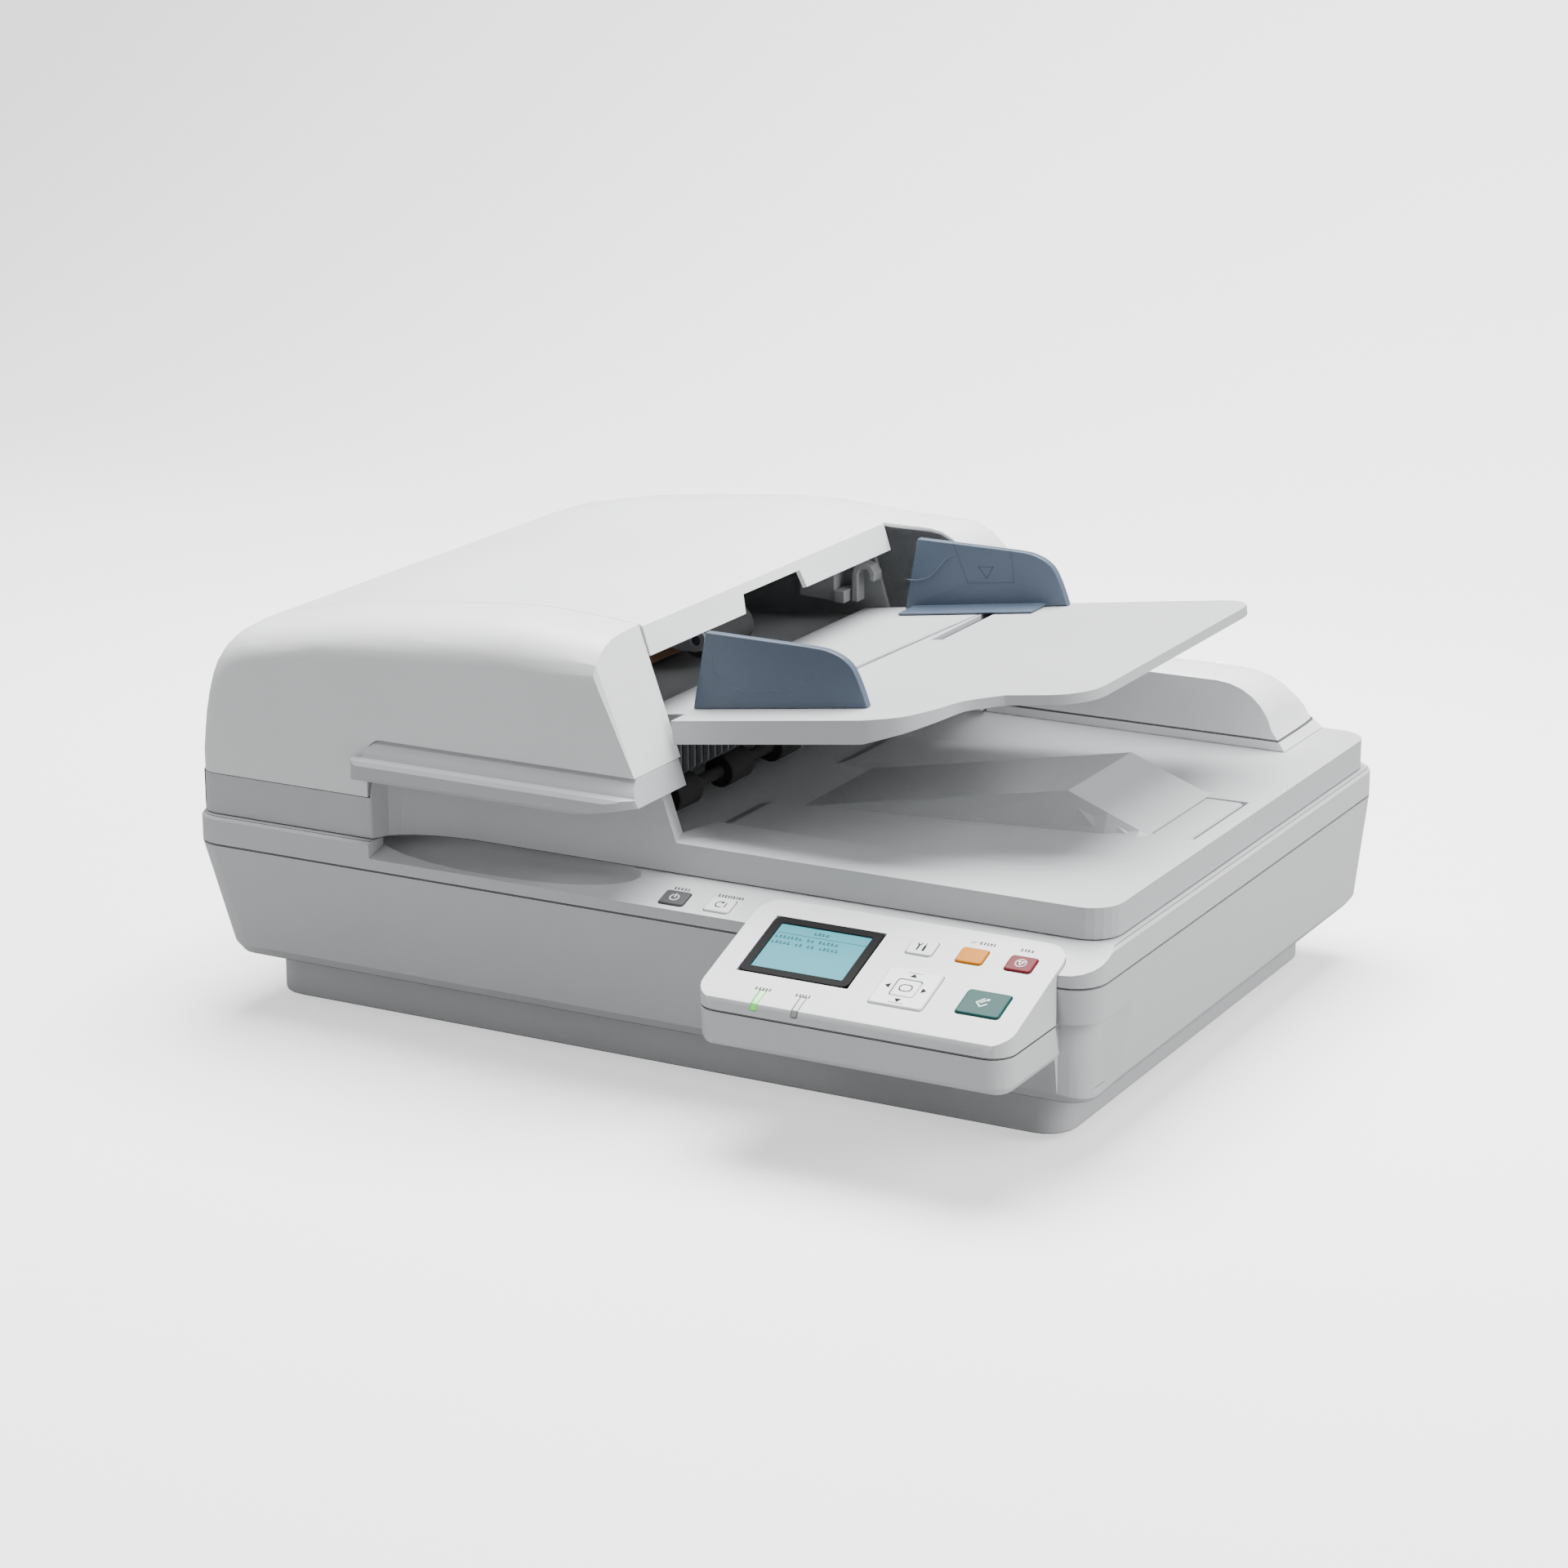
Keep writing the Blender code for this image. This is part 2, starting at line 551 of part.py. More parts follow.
# ---------------------------------------------------------------- control panel
PANEL_WIDTH = 0.149
PANEL_RIGHT = X_RIGHT - 0.0165
PANEL_LEFT = PANEL_RIGHT - PANEL_WIDTH
PANEL_TILT = radians(20)
PANEL_FOOT = 0.050
PANEL_SEAM = 0.067
PANEL_LIP_Z = 0.074  # the top's front edge
PANEL_LIP_Y = Y_PANEL + 0.0035
PANEL_BACK = PANEL_LIP_Y + 0.0640
PANEL_CORNER = 0.011
PANEL_SKIN = 0.0022
KEY_WIDTH = 0.0125
KEY_LENGTH = 0.0103
KEY_GAP = 0.0004
KEY_TRAVEL = 0.001
KEY_FLANGE = 0.0012
KEY_STAND = 0.0009  # how far a key stands out of its face
STRIP_KEY_S = WALL + 0.0060  # middle of the two keys on the case's front strip, up the slope from its edge
POWER_X = PANEL_LEFT - 0.0418
WAKE_X = PANEL_LEFT - 0.0187
WINDOW_S = (0.0165, 0.0566)  # down and up ends of the display window on the sloping face
WINDOW_X = (0.0115, 0.0657)  # from the panel's left side
BOARD_DEPTH = 0.0062  # of the panel's board under the face


def panel_profile(inset=0.0):
    """Side outline of the panel, (y, z), from the seam round the front lip to the back."""
    slope = tan(PANEL_TILT)
    top_back = PANEL_LIP_Z + (PANEL_BACK - PANEL_LIP_Y) * slope
    return [(Y_PANEL + inset, PANEL_SEAM), (Y_PANEL + inset, PANEL_LIP_Z - 0.0035 - inset * 0.5),
            (Y_PANEL + 0.001 + inset, PANEL_LIP_Z - 0.0012 - inset * 0.7),
            (PANEL_LIP_Y + inset * 0.4, PANEL_LIP_Z - inset * 0.9),
            (PANEL_BACK, top_back - inset / cos(PANEL_TILT))]


def panel_shells():
    wall_at_top = Y_FRONT - GAP
    back_low = lower_wall_y(PANEL_FOOT) - 0.001
    outline = rounded(PANEL_LEFT, PANEL_RIGHT, Y_PANEL + 0.001, back_low,
                      (PANEL_CORNER, PANEL_CORNER, 0.001, 0.001))
    upper = rounded(PANEL_LEFT, PANEL_RIGHT, Y_PANEL, wall_at_top,
                    (PANEL_CORNER, PANEL_CORNER, 0.001, 0.001))
    tub_inner = rounded(PANEL_LEFT + WALL, PANEL_RIGHT - WALL, Y_PANEL + WALL, wall_at_top - WALL,
                        (PANEL_CORNER - WALL, PANEL_CORNER - WALL, 0.001, 0.001))
    back_taper = [(x, min(y, lower_wall_y(PANEL_SEAM) - GAP)) for x, y in upper]
    foot = [(x + (0.002 if x < PANEL_LEFT + 0.02 else -0.002), max(y, Y_PANEL + 0.004)) for x, y in outline]
    tub = loft("panel_body", [at_height(foot, PANEL_FOOT), at_height(outline, PANEL_FOOT + 0.003),
                              at_height(back_taper, PANEL_SEAM - GAP),
                              at_height(tub_inner, PANEL_SEAM - GAP),
                              at_height(tub_inner, PANEL_FOOT + 0.003 + WALL)])
    light_grey(tub)

    outer = panel_profile()
    profile = [*outer, (PANEL_BACK, Z_UPPER + GAP), (wall_at_top, Z_UPPER + GAP), (wall_at_top, PANEL_SEAM)]
    cover = prism("panel_cover", profile, "X", PANEL_LEFT, PANEL_RIGHT)
    light_grey(cover)
    plan = rounded(PANEL_LEFT, PANEL_RIGHT, Y_PANEL, PANEL_BACK, (PANEL_CORNER,) * 4, steps=6)
    boolean(cover, prism("panel_plan", plan, "Z", PANEL_FOOT, Z_CROWN), "INTERSECT")
    inner = panel_profile(PANEL_SKIN)
    inner[0] = (inner[0][0], PANEL_SEAM - 0.01)
    inner_back = PANEL_LIP_Z - PANEL_SKIN / cos(PANEL_TILT) + (PANEL_BACK - WALL - PANEL_LIP_Y) * tan(PANEL_TILT)
    inner[-1] = (PANEL_BACK - WALL, inner_back)
    inner += [(PANEL_BACK - WALL, Z_UPPER - 0.0005), (wall_at_top - WALL, Z_UPPER - 0.0005),
              (wall_at_top - WALL, PANEL_SEAM - 0.01)]
    hollow = prism("panel_hollow", inner, "X", PANEL_LEFT + WALL, PANEL_RIGHT - WALL)
    inner_plan = rounded(PANEL_LEFT + WALL, PANEL_RIGHT - WALL, Y_PANEL + PANEL_SKIN, PANEL_BACK - WALL,
                         (PANEL_CORNER - WALL,) * 4, steps=6)
    boolean(hollow, prism("panel_inner_plan", inner_plan, "Z", PANEL_SEAM - 0.02, Z_CROWN), "INTERSECT")
    cut(cover, hollow)

    window_x = (PANEL_LEFT + WINDOW_X[0], PANEL_LEFT + WINDOW_X[1])
    cut(cover, slope_block("window_cutter", panel_face, window_x, WINDOW_S, (-0.006, 0.001)))
    margin = KEY_GAP
    pane = slope_block("display_window", panel_face, (window_x[0] + margin, window_x[1] - margin),
                       (WINDOW_S[0] + margin, WINDOW_S[1] - margin), (-0.0014, 0.0002))
    finish(pane, "black_window", (0.01, 0.01, 0.012), 0.12)
    module = slope_block("display_module", panel_face, (window_x[0] + 0.001, window_x[1] - 0.001),
                         (WINDOW_S[0] + 0.001, WINDOW_S[1] - 0.001), (-0.0045, -0.0014 - GAP))
    finish(module, "display_glow", (0.45, 0.72, 0.78), 0.3)
    board(slope_block("panel_board", panel_face, (PANEL_LEFT + 0.007, PANEL_RIGHT - 0.007), (0.011, 0.044),
                      (-BOARD_DEPTH - 0.0016, -BOARD_DEPTH)))
    for name, x, colour in (("ready_light", LIGHT_X[0], (0.35, 0.85, 0.30)),
                            ("error_light", LIGHT_X[1], (0.45, 0.46, 0.47))):
        half = LIGHT_WIDTH / 2
        notch = prism(f"{name}_notch", light_profile(GAP), "X", x - half - GAP, x + half + GAP)
        cut(cover, notch)
        finish(prism(name, light_profile(0), "X", x - half, x + half), name, colour, 0.25)


LIGHT_X = (PANEL_LEFT + 0.0302, PANEL_LEFT + 0.0498)
LIGHT_WIDTH = 0.0028


def light_profile(swell):
    """A light bar bent over the panel's front lip."""
    outer = panel_profile(-swell)
    reach = PANEL_LIP_Y + 0.006 + swell
    top = PANEL_LIP_Z + swell + (reach - PANEL_LIP_Y) * tan(PANEL_TILT)
    deep = 0.0014 + swell
    low = PANEL_LIP_Z - 0.004 - swell
    return [(outer[1][0], low), (outer[1][0], outer[1][1]), outer[2], outer[3], (reach, top),
            (reach, top - deep), (PANEL_LIP_Y + 0.0012, PANEL_LIP_Z - deep - 0.0002), (Y_PANEL + deep, low)]


def slope_block(name, face, across, up, out):
    """A block in a sloping face's own directions: across it, up it and out of it."""
    return block(name, (across[0], up[0], out[0]), (across[1], up[1], out[1]), face)


def key_hole(name, face, x, s, width, length):
    outline = rounded(x - width / 2 - KEY_GAP, x + width / 2 + KEY_GAP, s - length / 2 - KEY_GAP,
                      s + length / 2 + KEY_GAP, 0.0018, steps=3)
    return loft(name, [at_height(outline, -0.006), at_height(outline, 0.004)], face)


def key(name, face, x, s, width, length, colour, roughness=0.4):
    """A push key: a crowned cap on a flange that keeps it behind the face."""
    def ring(grow, out):
        corner = max(0.0016 + grow, 0.0005)
        outline = rounded(x - width / 2 - grow, x + width / 2 + grow, s - length / 2 - grow,
                          s + length / 2 + grow, corner, steps=3)
        return at_height(outline, out)

    flange_top = -PANEL_SKIN - 0.0008
    rings = [ring(KEY_FLANGE, flange_top - 0.0012), ring(KEY_FLANGE, flange_top), ring(0, flange_top),
             ring(0, KEY_STAND - 0.0004), ring(-0.0005, KEY_STAND)]
    return finish(loft(name, rings, face), name, colour, roughness)


PANEL_KEYS = (
    # name, middle from the panel's left side, middle up the slope, width, length, colour
    ("menu_button", 0.0852, 0.0510, KEY_WIDTH, KEY_LENGTH, (0.74, 0.75, 0.76)),
    ("reset_button", 0.1090, 0.0510, KEY_WIDTH, KEY_LENGTH, (0.90, 0.52, 0.08)),
    ("stop_button", 0.1320, 0.0510, KEY_WIDTH, KEY_LENGTH, (0.62, 0.22, 0.26)),
    ("start_button", 0.1277, 0.0217, 0.0203, 0.0162, (0.10, 0.38, 0.38)),
)
PAD_X, PAD_S = 0.0908, 0.0226
PAD_SIZE = (0.0256, 0.0245)
OK_SIZE = (0.0113, 0.0113)


def keys():
    for name, x, s, width, length, colour in PANEL_KEYS:
        cut(bpy.data.objects["panel_cover"],
            key_hole(f"{name}_hole", panel_face, PANEL_LEFT + x, s, width, length))
        key(name, panel_face, PANEL_LEFT + x, s, width, length, colour)
    pad_x = PANEL_LEFT + PAD_X
    cut(bpy.data.objects["panel_cover"], key_hole("pad_hole", panel_face, pad_x, PAD_S, *PAD_SIZE))
    key("ok_button", panel_face, pad_x, PAD_S, *OK_SIZE, (0.76, 0.77, 0.78))

    def ring(size, out, shrink=0.0):
        half_x, half_s = size[0] / 2 - shrink, size[1] / 2 - shrink
        return at_height(rounded(-half_x, half_x, -half_s, half_s, 0.0016, steps=3), out)

    arrow_axis = pivot("arrow_pad_axis", (pad_x, PAD_S, -0.0012))
    arrow_axis.parent = panel_face
    opening = (OK_SIZE[0] + 2 * KEY_GAP + 2 * KEY_FLANGE, OK_SIZE[1] + 2 * KEY_GAP + 2 * KEY_FLANGE)
    mouth = (OK_SIZE[0] + 2 * KEY_GAP, OK_SIZE[1] + 2 * KEY_GAP)
    pad = loft("arrow_pad", [ring(PAD_SIZE, -0.0012), ring(PAD_SIZE, 0.0016),
                             ring(PAD_SIZE, 0.0021, 0.0005)],
               arrow_axis)
    cut(pad, loft("pad_mouth", [ring(opening, -0.004), ring(opening, -0.0004), ring(mouth, -0.0004),
                                ring(mouth, 0.004)], arrow_axis))
    finish(pad, "arrow_pad", (0.74, 0.75, 0.76), 0.4)
    for name, x, colour in (("power_button", POWER_X, (0.25, 0.26, 0.27)),
                            ("wake_button", WAKE_X, (0.76, 0.77, 0.78))):
        key(name, strip_face, x, STRIP_KEY_S, KEY_WIDTH, KEY_LENGTH, colour)


# ---------------------------------------------------------------- lid
LID_LEFT = X_LEFT + 0.001
LID_RIGHT = X_RIGHT - 0.004
LID_BACK = Y_BACK - 0.003
LID_FRONT = Y_FRONT + STRIP_DEPTH
LID_PROUD_FRONT = Y_FRONT + 0.004
LID_FLOOR = 0.0024
TRAY_FLOOR_LOW = 0.0045  # output tray's floor over the lid's bottom, at the feeder
TRAY_FLOOR_HIGH = 0.0140
LEDGE = 0.053  # width of the front ledge along the output tray
LEDGE_FALL = 0.0055  # its inner edge is this much under the border
LEDGE_RUN = 0.0012
REAR_LEDGE = 0.0515
FIN_FRONT = PAPER_Y - 0.035
FIN_BACK = PAPER_Y + 0.037
FIN_PEAK_X = X_RIGHT - 0.074
FIN_PEAK = 0.0295
FIN_START_X = X_LEFT + 0.254
FIN_END_X = X_RIGHT - 0.034
HINGE_WIDTH = 0.016
HINGE_LEG = 0.006
HINGE_Y = Y_BACK - 0.007
HINGE_Z = Z_LID + 0.005
HINGE_LEFT_X = X_LEFT + 0.080
HINGE_RIGHT_X = X_RIGHT - 0.080
STEP_X = X_LEFT + 0.245  # the lid's border steps up to the handle here
STEP_RUN = 0.007
STEP_SKEW = 0.42  # the step runs back and to the left
PROUD_RUN = 0.048  # length of the curve from the lid's proud corner into the wall under the handle
HANDLE_LIFT = 0.006  # the handle's underside rises by this towards its right end
LIFT_START = X_LEFT + 0.214
HUMP_LEFT = X_LEFT + 0.2793
HUMP_RIGHT = X_RIGHT - 0.029
HUMP_RISE = 0.0325
STOPPER_X = (X_RIGHT - 0.0335, X_RIGHT - 0.0165)
STOPPER_Y = (PAPER_Y - 0.032, PAPER_Y + 0.033)
STOPPER_THICK = 0.0022
STOPPER_SEAT = 0.0004


def feed_face(z):
    return X_LEFT + FEEDER_SPAN + (Z_FOOT_OF_COVER - z) * FEED_FACE_SLOPE


def handle_lift(x):
    return HANDLE_LIFT * min(max((x - LIFT_START) / (STEP_X - LIFT_START), 0), 1)


def step_shift(x, y):
    """How far a column of the lid's grid moves left, so that the step beside the handle is slanted."""
    if STEP_X - 0.0001 <= x <= STEP_X + STEP_RUN + 0.0001:
        return STEP_SKEW * min(max(y - LID_FRONT, 0), SEAM_FRONT - GAP - LID_FRONT)
    return 0.0


def lid_top(x, y):
    """Height of the lid's upper surface over its bottom."""
    if x < STEP_X + STEP_RUN:
        if x <= LID_LEFT + WALL or y >= LID_BACK - WALL:
            height = BAND_HEIGHT
        elif y <= LID_FRONT + WALL and x > STRIP_LEFT - 0.001:
            height = HANDLE_RISE - GAP + handle_lift(x - step_shift(x, y))
        elif y <= LID_PROUD_FRONT + WALL or (
            STRIP_LEFT - 0.001 - WALL <= x <= STRIP_LEFT and y < LID_FRONT + WALL
        ):
            height = BAND_HEIGHT
        elif x >= X_LEFT + 0.212 and y <= SEAM_FRONT - GAP:
            height = HANDLE_RISE - GAP + handle_lift(x - step_shift(x, y))
        else:
            height = LID_FLOOR
        if x > STEP_X and y <= SEAM_FRONT - GAP:
            height = LID_EDGE
        elif x > STEP_X and y >= SEAM_REAR + 0.003:
            height = LID_EDGE
        elif x > STEP_X:
            height = TRAY_FLOOR_LOW
        return height
    run = (x - STEP_X - STEP_RUN) / (FIN_END_X - STEP_X - STEP_RUN)
    floor = TRAY_FLOOR_LOW + (TRAY_FLOOR_HIGH - TRAY_FLOOR_LOW) * min(max(run, 0), 1)
    if x >= FIN_END_X:
        floor = TRAY_FLOOR_HIGH - (TRAY_FLOOR_HIGH - LID_EDGE) * (x - FIN_END_X) / (LID_RIGHT - FIN_END_X)
    if FIN_FRONT <= y <= FIN_BACK:
        if x <= FIN_PEAK_X:
            rise = (x - FIN_START_X) / (FIN_PEAK_X - FIN_START_X)
            floor = max(LID_FLOOR, LID_FLOOR + (FIN_PEAK - LID_FLOOR) * min(max(rise, 0), 1))
        elif x <= FIN_END_X:
            rise = (FIN_END_X - x) / (FIN_END_X - FIN_PEAK_X)
            floor = TRAY_FLOOR_HIGH + (FIN_PEAK - TRAY_FLOOR_HIGH) * rise
    inner_front = LID_FRONT + LEDGE
    inner_back = LID_BACK - REAR_LEDGE - 0.028
    if y < inner_front:
        share = (inner_front - y) / LEDGE
        brink = max(floor, LID_EDGE - LEDGE_FALL)
        floor = brink + (LID_EDGE - brink) * share
    elif y > inner_back:
        share = min((y - inner_back) / 0.028, 1)
        floor = floor + (LID_EDGE - floor) * share
    return floor


def lid_under(x, y, top):
    """The lid is a shell: its underside follows the top, except along the rim and where it is low."""
    rim = 0.004
    inside = LID_LEFT + rim < x < LID_RIGHT - rim and LID_FRONT + rim < y < LID_BACK - 0.016
    if not inside or x < STEP_X + STEP_RUN or x > FIN_END_X - 0.001:
        return 0.0
    return max(top - LID_FLOOR, 0.0)


def lid_base():
    step = 0.0004
    xs = [LID_LEFT, LID_LEFT + WALL, LID_LEFT + WALL + step, STRIP_LEFT - WALL - 0.001 - step,
          STRIP_LEFT - WALL - 0.001,
          STRIP_LEFT - 0.001, STRIP_LEFT, X_LEFT + 0.212 - step, X_LEFT + 0.212, STEP_X, STEP_X + STEP_RUN,
          STEP_X + STEP_RUN + 0.005, FIN_START_X + 0.010, 0.060 + (X_RIGHT - 0.234), FIN_PEAK_X - 0.060,
          FIN_PEAK_X,
          (FIN_PEAK_X + FIN_END_X) / 2, FIN_END_X - 0.004, FIN_END_X, LID_RIGHT - 0.0045,
          LID_RIGHT - 0.004, LID_RIGHT]
    ys = [LID_PROUD_FRONT, LID_PROUD_FRONT + WALL, LID_PROUD_FRONT + WALL + step, LID_FRONT,
          LID_FRONT + WALL,
          LID_FRONT + WALL + step, LID_FRONT + 0.0045, SEAM_FRONT - GAP, SEAM_FRONT - GAP + step,
          LID_FRONT + LEDGE - 0.0001, LID_FRONT + LEDGE + LEDGE_RUN,
          FIN_FRONT - 0.0045, FIN_FRONT, FIN_BACK, FIN_BACK + 0.0045, LID_BACK - REAR_LEDGE - 0.028,
          SEAM_REAR + 0.003 - step, SEAM_REAR + 0.003, LID_BACK - REAR_LEDGE, LID_BACK - 0.0165,
          LID_BACK - 0.016,
          LID_BACK - WALL - step, LID_BACK - WALL, LID_BACK]
    xs, ys = sorted(xs), sorted(ys)
    across, along = len(xs), len(ys)
    upper, lower = [], []
    for y in ys:
        for x in xs:
            top = lid_top(x, y)
            place = x - step_shift(x, y)
            upper.append((place, y, Z_LID + top))
            lower.append((place, y, Z_LID + lid_under(x, y, top)))
    count = across * along
    faces = []
    for j in range(along - 1):
        for i in range(across - 1):
            a = j * across + i
            quad = (a, a + 1, a + across + 1, a + across)
            faces.append(quad)
            faces.append(tuple(count + k for k in reversed(quad)))
    border = [i for i in range(across)] + [j * across + across - 1 for j in range(1, along)]
    border += [(along - 1) * across + i for i in reversed(range(across - 1))]
    border += [j * across for j in reversed(range(1, along - 1))]
    for a, b in zip(border, border[1:] + border[:1]):
        faces.append((a, count + a, count + b, b))
    lid = new_object("lid_base", mesh_of("lid_base", upper + lower, faces))
    light_grey(lid)
    plan = rounded(LID_LEFT, LID_RIGHT, LID_FRONT, LID_BACK, (0.001, CORNER, CORNER, 0.012), steps=6)[7:]
    proud = rounded(LID_LEFT, STRIP_LEFT, LID_PROUD_FRONT, LID_FRONT + 0.01, (0.012, 0.0015, 0.001, 0.001),
                    steps=5)
    curve = []
    for step in range(2, 9):
        angle = 0.5 * pi * step / 8
        curve.append((STRIP_LEFT + PROUD_RUN * (1 - cos(angle)),
                      LID_PROUD_FRONT + (LID_FRONT - LID_PROUD_FRONT) * sin(angle)))
    outline = [*proud[:11], *curve, *plan]
    boolean(lid, prism("lid_plan", outline, "Z", Z_LID - 0.01, Z_CROWN), "INTERSECT")
    feed_hole = block("feed_opening", (FEED_GLASS_LEFT - 0.002, PAPER_Y - PLATEN_WIDTH / 2, Z_LID - 0.01),
                      (FEED_GLASS_LEFT + FEED_GLASS_LENGTH + 0.002, PAPER_Y + PLATEN_WIDTH / 2,
                       Z_LID + 0.01))
    chamfer = [(LID_BACK + 0.001, Z_LID - 0.001), (LID_BACK + 0.001, HINGE_Z + 0.0018),
               (LID_BACK - 0.0085, Z_LID - 0.001)]
    cut(lid, feed_hole, prism("lid_chamfer", chamfer, "X", LID_LEFT - 0.01, LID_RIGHT + 0.01))
    for x in (HINGE_LEFT_X, HINGE_RIGHT_X):
        half = HINGE_WIDTH / 2 + SLIDE_GAP
        cut(lid, block("hinge_pocket", (x - half, HINGE_Y - 0.009, Z_LID - 0.001),
                       (x + half, Y_BACK, Z_LID + 0.0135)))
        stations = [(x - half - 0.003, 0.0028), (x + half + 0.003, 0.0028)]
        cut(lid, turned("hinge_bore", stations, "X", (HINGE_Y, HINGE_Z), sides=16))
    seat = block("stopper_seat", (STOPPER_X[0] - STOPPER_SEAT, STOPPER_Y[0] - STOPPER_SEAT,
                                  STOPPER_LOW - STOPPER_SEAT),
                 (STOPPER_X[1] + 0.004, STOPPER_Y[1] + STOPPER_SEAT, Z_CROWN))
    cut(lid, seat)


STOPPER_LOW = Z_LID + TRAY_FLOOR_HIGH - 0.0004 - STOPPER_THICK


def lid_pieces():
    flap = [(STOPPER_X[0], STOPPER_LOW), (STOPPER_X[1], STOPPER_LOW),
            (STOPPER_X[1] + 0.0011, STOPPER_LOW + 0.0011),
            (STOPPER_X[1], STOPPER_LOW + STOPPER_THICK), (STOPPER_X[0], STOPPER_LOW + STOPPER_THICK)]
    light_grey(prism("paper_stopper", flap, "Y", *STOPPER_Y))

    for side, x in (("left", HINGE_LEFT_X), ("right", HINGE_RIGHT_X)):
        leg = block(f"hinge_arm_{side}", (x - HINGE_WIDTH / 2, HINGE_Y - HINGE_LEG / 2, Z_UPPER - 0.010),
                    (x + HINGE_WIDTH / 2, HINGE_Y + HINGE_LEG / 2, HINGE_Z - 0.001))
        steel(leg)
        half = HINGE_WIDTH / 2
        barrel = turned("hinge_barrel", [(x - half - 0.0028, 0.0024), (x - half, 0.0024),
                                         (x - half, 0.0045),
                                         (x + half, 0.0045), (x + half, 0.0024),
                                         (x + half + 0.0028, 0.0024)],
                        "X", (HINGE_Y, HINGE_Z), sides=16)
        fuse(leg, barrel)

    mat = block("document_mat", (PLATEN_LEFT + 0.002, PAPER_Y - PLATEN_WIDTH / 2 + 0.002,
                                 Z_DECK - DECK_THICK + GAP),
                (PLATEN_LEFT + PLATEN_LENGTH - 0.002, PAPER_Y + PLATEN_WIDTH / 2 - 0.002, Z_LID - GAP))
    finish(mat, "mat_foam", (0.85, 0.85, 0.84), 0.9)


HANDLE_RIGHT = X_LEFT + 0.256
HANDLE_FRONT = Y_FRONT - 0.005


def handle_plate():
    low = Z_HANDLE + GAP
    high = low + HANDLE_THICK
    back = SEAM_FRONT - 0.002
    left = STRIP_LEFT - 0.002
    profile = [(HANDLE_FRONT, low + 0.002), (HANDLE_FRONT, low + 0.0075),
               (HANDLE_FRONT + 0.0015, low + 0.0095),
               (HANDLE_FRONT + 0.005, low + 0.0102), (LID_PROUD_FRONT - 0.003, low + 0.0128),
               (LID_PROUD_FRONT + 0.0015, high), (back, high), (back, low), (HANDLE_FRONT + 0.002, low)]
    plate = prism("handle_plate", profile, "X", left - HANDLE_EAR, HANDLE_RIGHT)
    light_grey(plate)
    ear = LID_PROUD_FRONT - GAP
    plan = rounded(left - HANDLE_EAR, HANDLE_RIGHT, HANDLE_FRONT, back + 0.001,
                   (HANDLE_EAR, 0.024, 0.001, 0.001), steps=6)
    plan = [point for point in plan if point[1] < back or point[0] > 0]
    plan += [(left, back + 0.001), (left, ear), (left - HANDLE_EAR, ear)]
    boolean(plate, prism("handle_plan", plan, "Z", low - 0.01, high + 0.01), "INTERSECT")
    side = [(left - HANDLE_EAR - 0.001, low - 0.001), (LIFT_START, low - 0.001), (LIFT_START, low),
            (STEP_X, low + HANDLE_LIFT), (feed_face(low + HANDLE_LIFT), low + HANDLE_LIFT),
            (feed_face(high), high),
            *shoulder(left, high), (left - HANDLE_EAR - 0.001, high - SHOULDER)]
    boolean(plate, prism("handle_side", side, "Y", HANDLE_FRONT - 0.01, back + 0.01), "INTERSECT")


HANDLE_EAR = 0.0060  # the handle's left end reaches this far past the wall, in front of the end cover
SHOULDER = 0.0085  # round top corner of the handle's left end


def shoulder(left, high):
    """The round corner, from the top down, seen from the front."""
    corner = []
    for step in range(6):
        angle = 0.5 * pi * step / 5
        corner.append((left + SHOULDER * (1 - sin(angle)), high - SHOULDER * (1 - cos(angle))))
    return corner


# ---------------------------------------------------------------- feeder covers
COVER_FOOT = Z_BAND + 0.0035  # the top cover's left edge swings here
PIVOT_X = X_LEFT + 0.0040 + WALL
PIVOT_Z = Z_BAND + 0.006
FASCIA = 0.014
CROWN_POINTS = (
    # from the case's left side, below the crown: the covers' left side and top, as seen from the front
    (0.0022, 0.0790), (0.0048, 0.0575), (0.0090, 0.0400), (0.0155, 0.0275), (0.0254, 0.0200),
    (0.0400, 0.0160),
    (0.0740, 0.0095), (0.1020, 0.0060), (0.1400, 0.0022), (0.1780, 0.0), (0.2220, 0.0030),
)
REAR_POINTS = ((0.2420, 0.0032), (0.2560, 0.0045), (0.2670, 0.0125), (0.2730, 0.0285), (0.2770, 0.0585))


def crown_path(points, steps=2):
    return [(X_LEFT + x, Z_CROWN - z) for x, z in smooth_path(points, steps)]


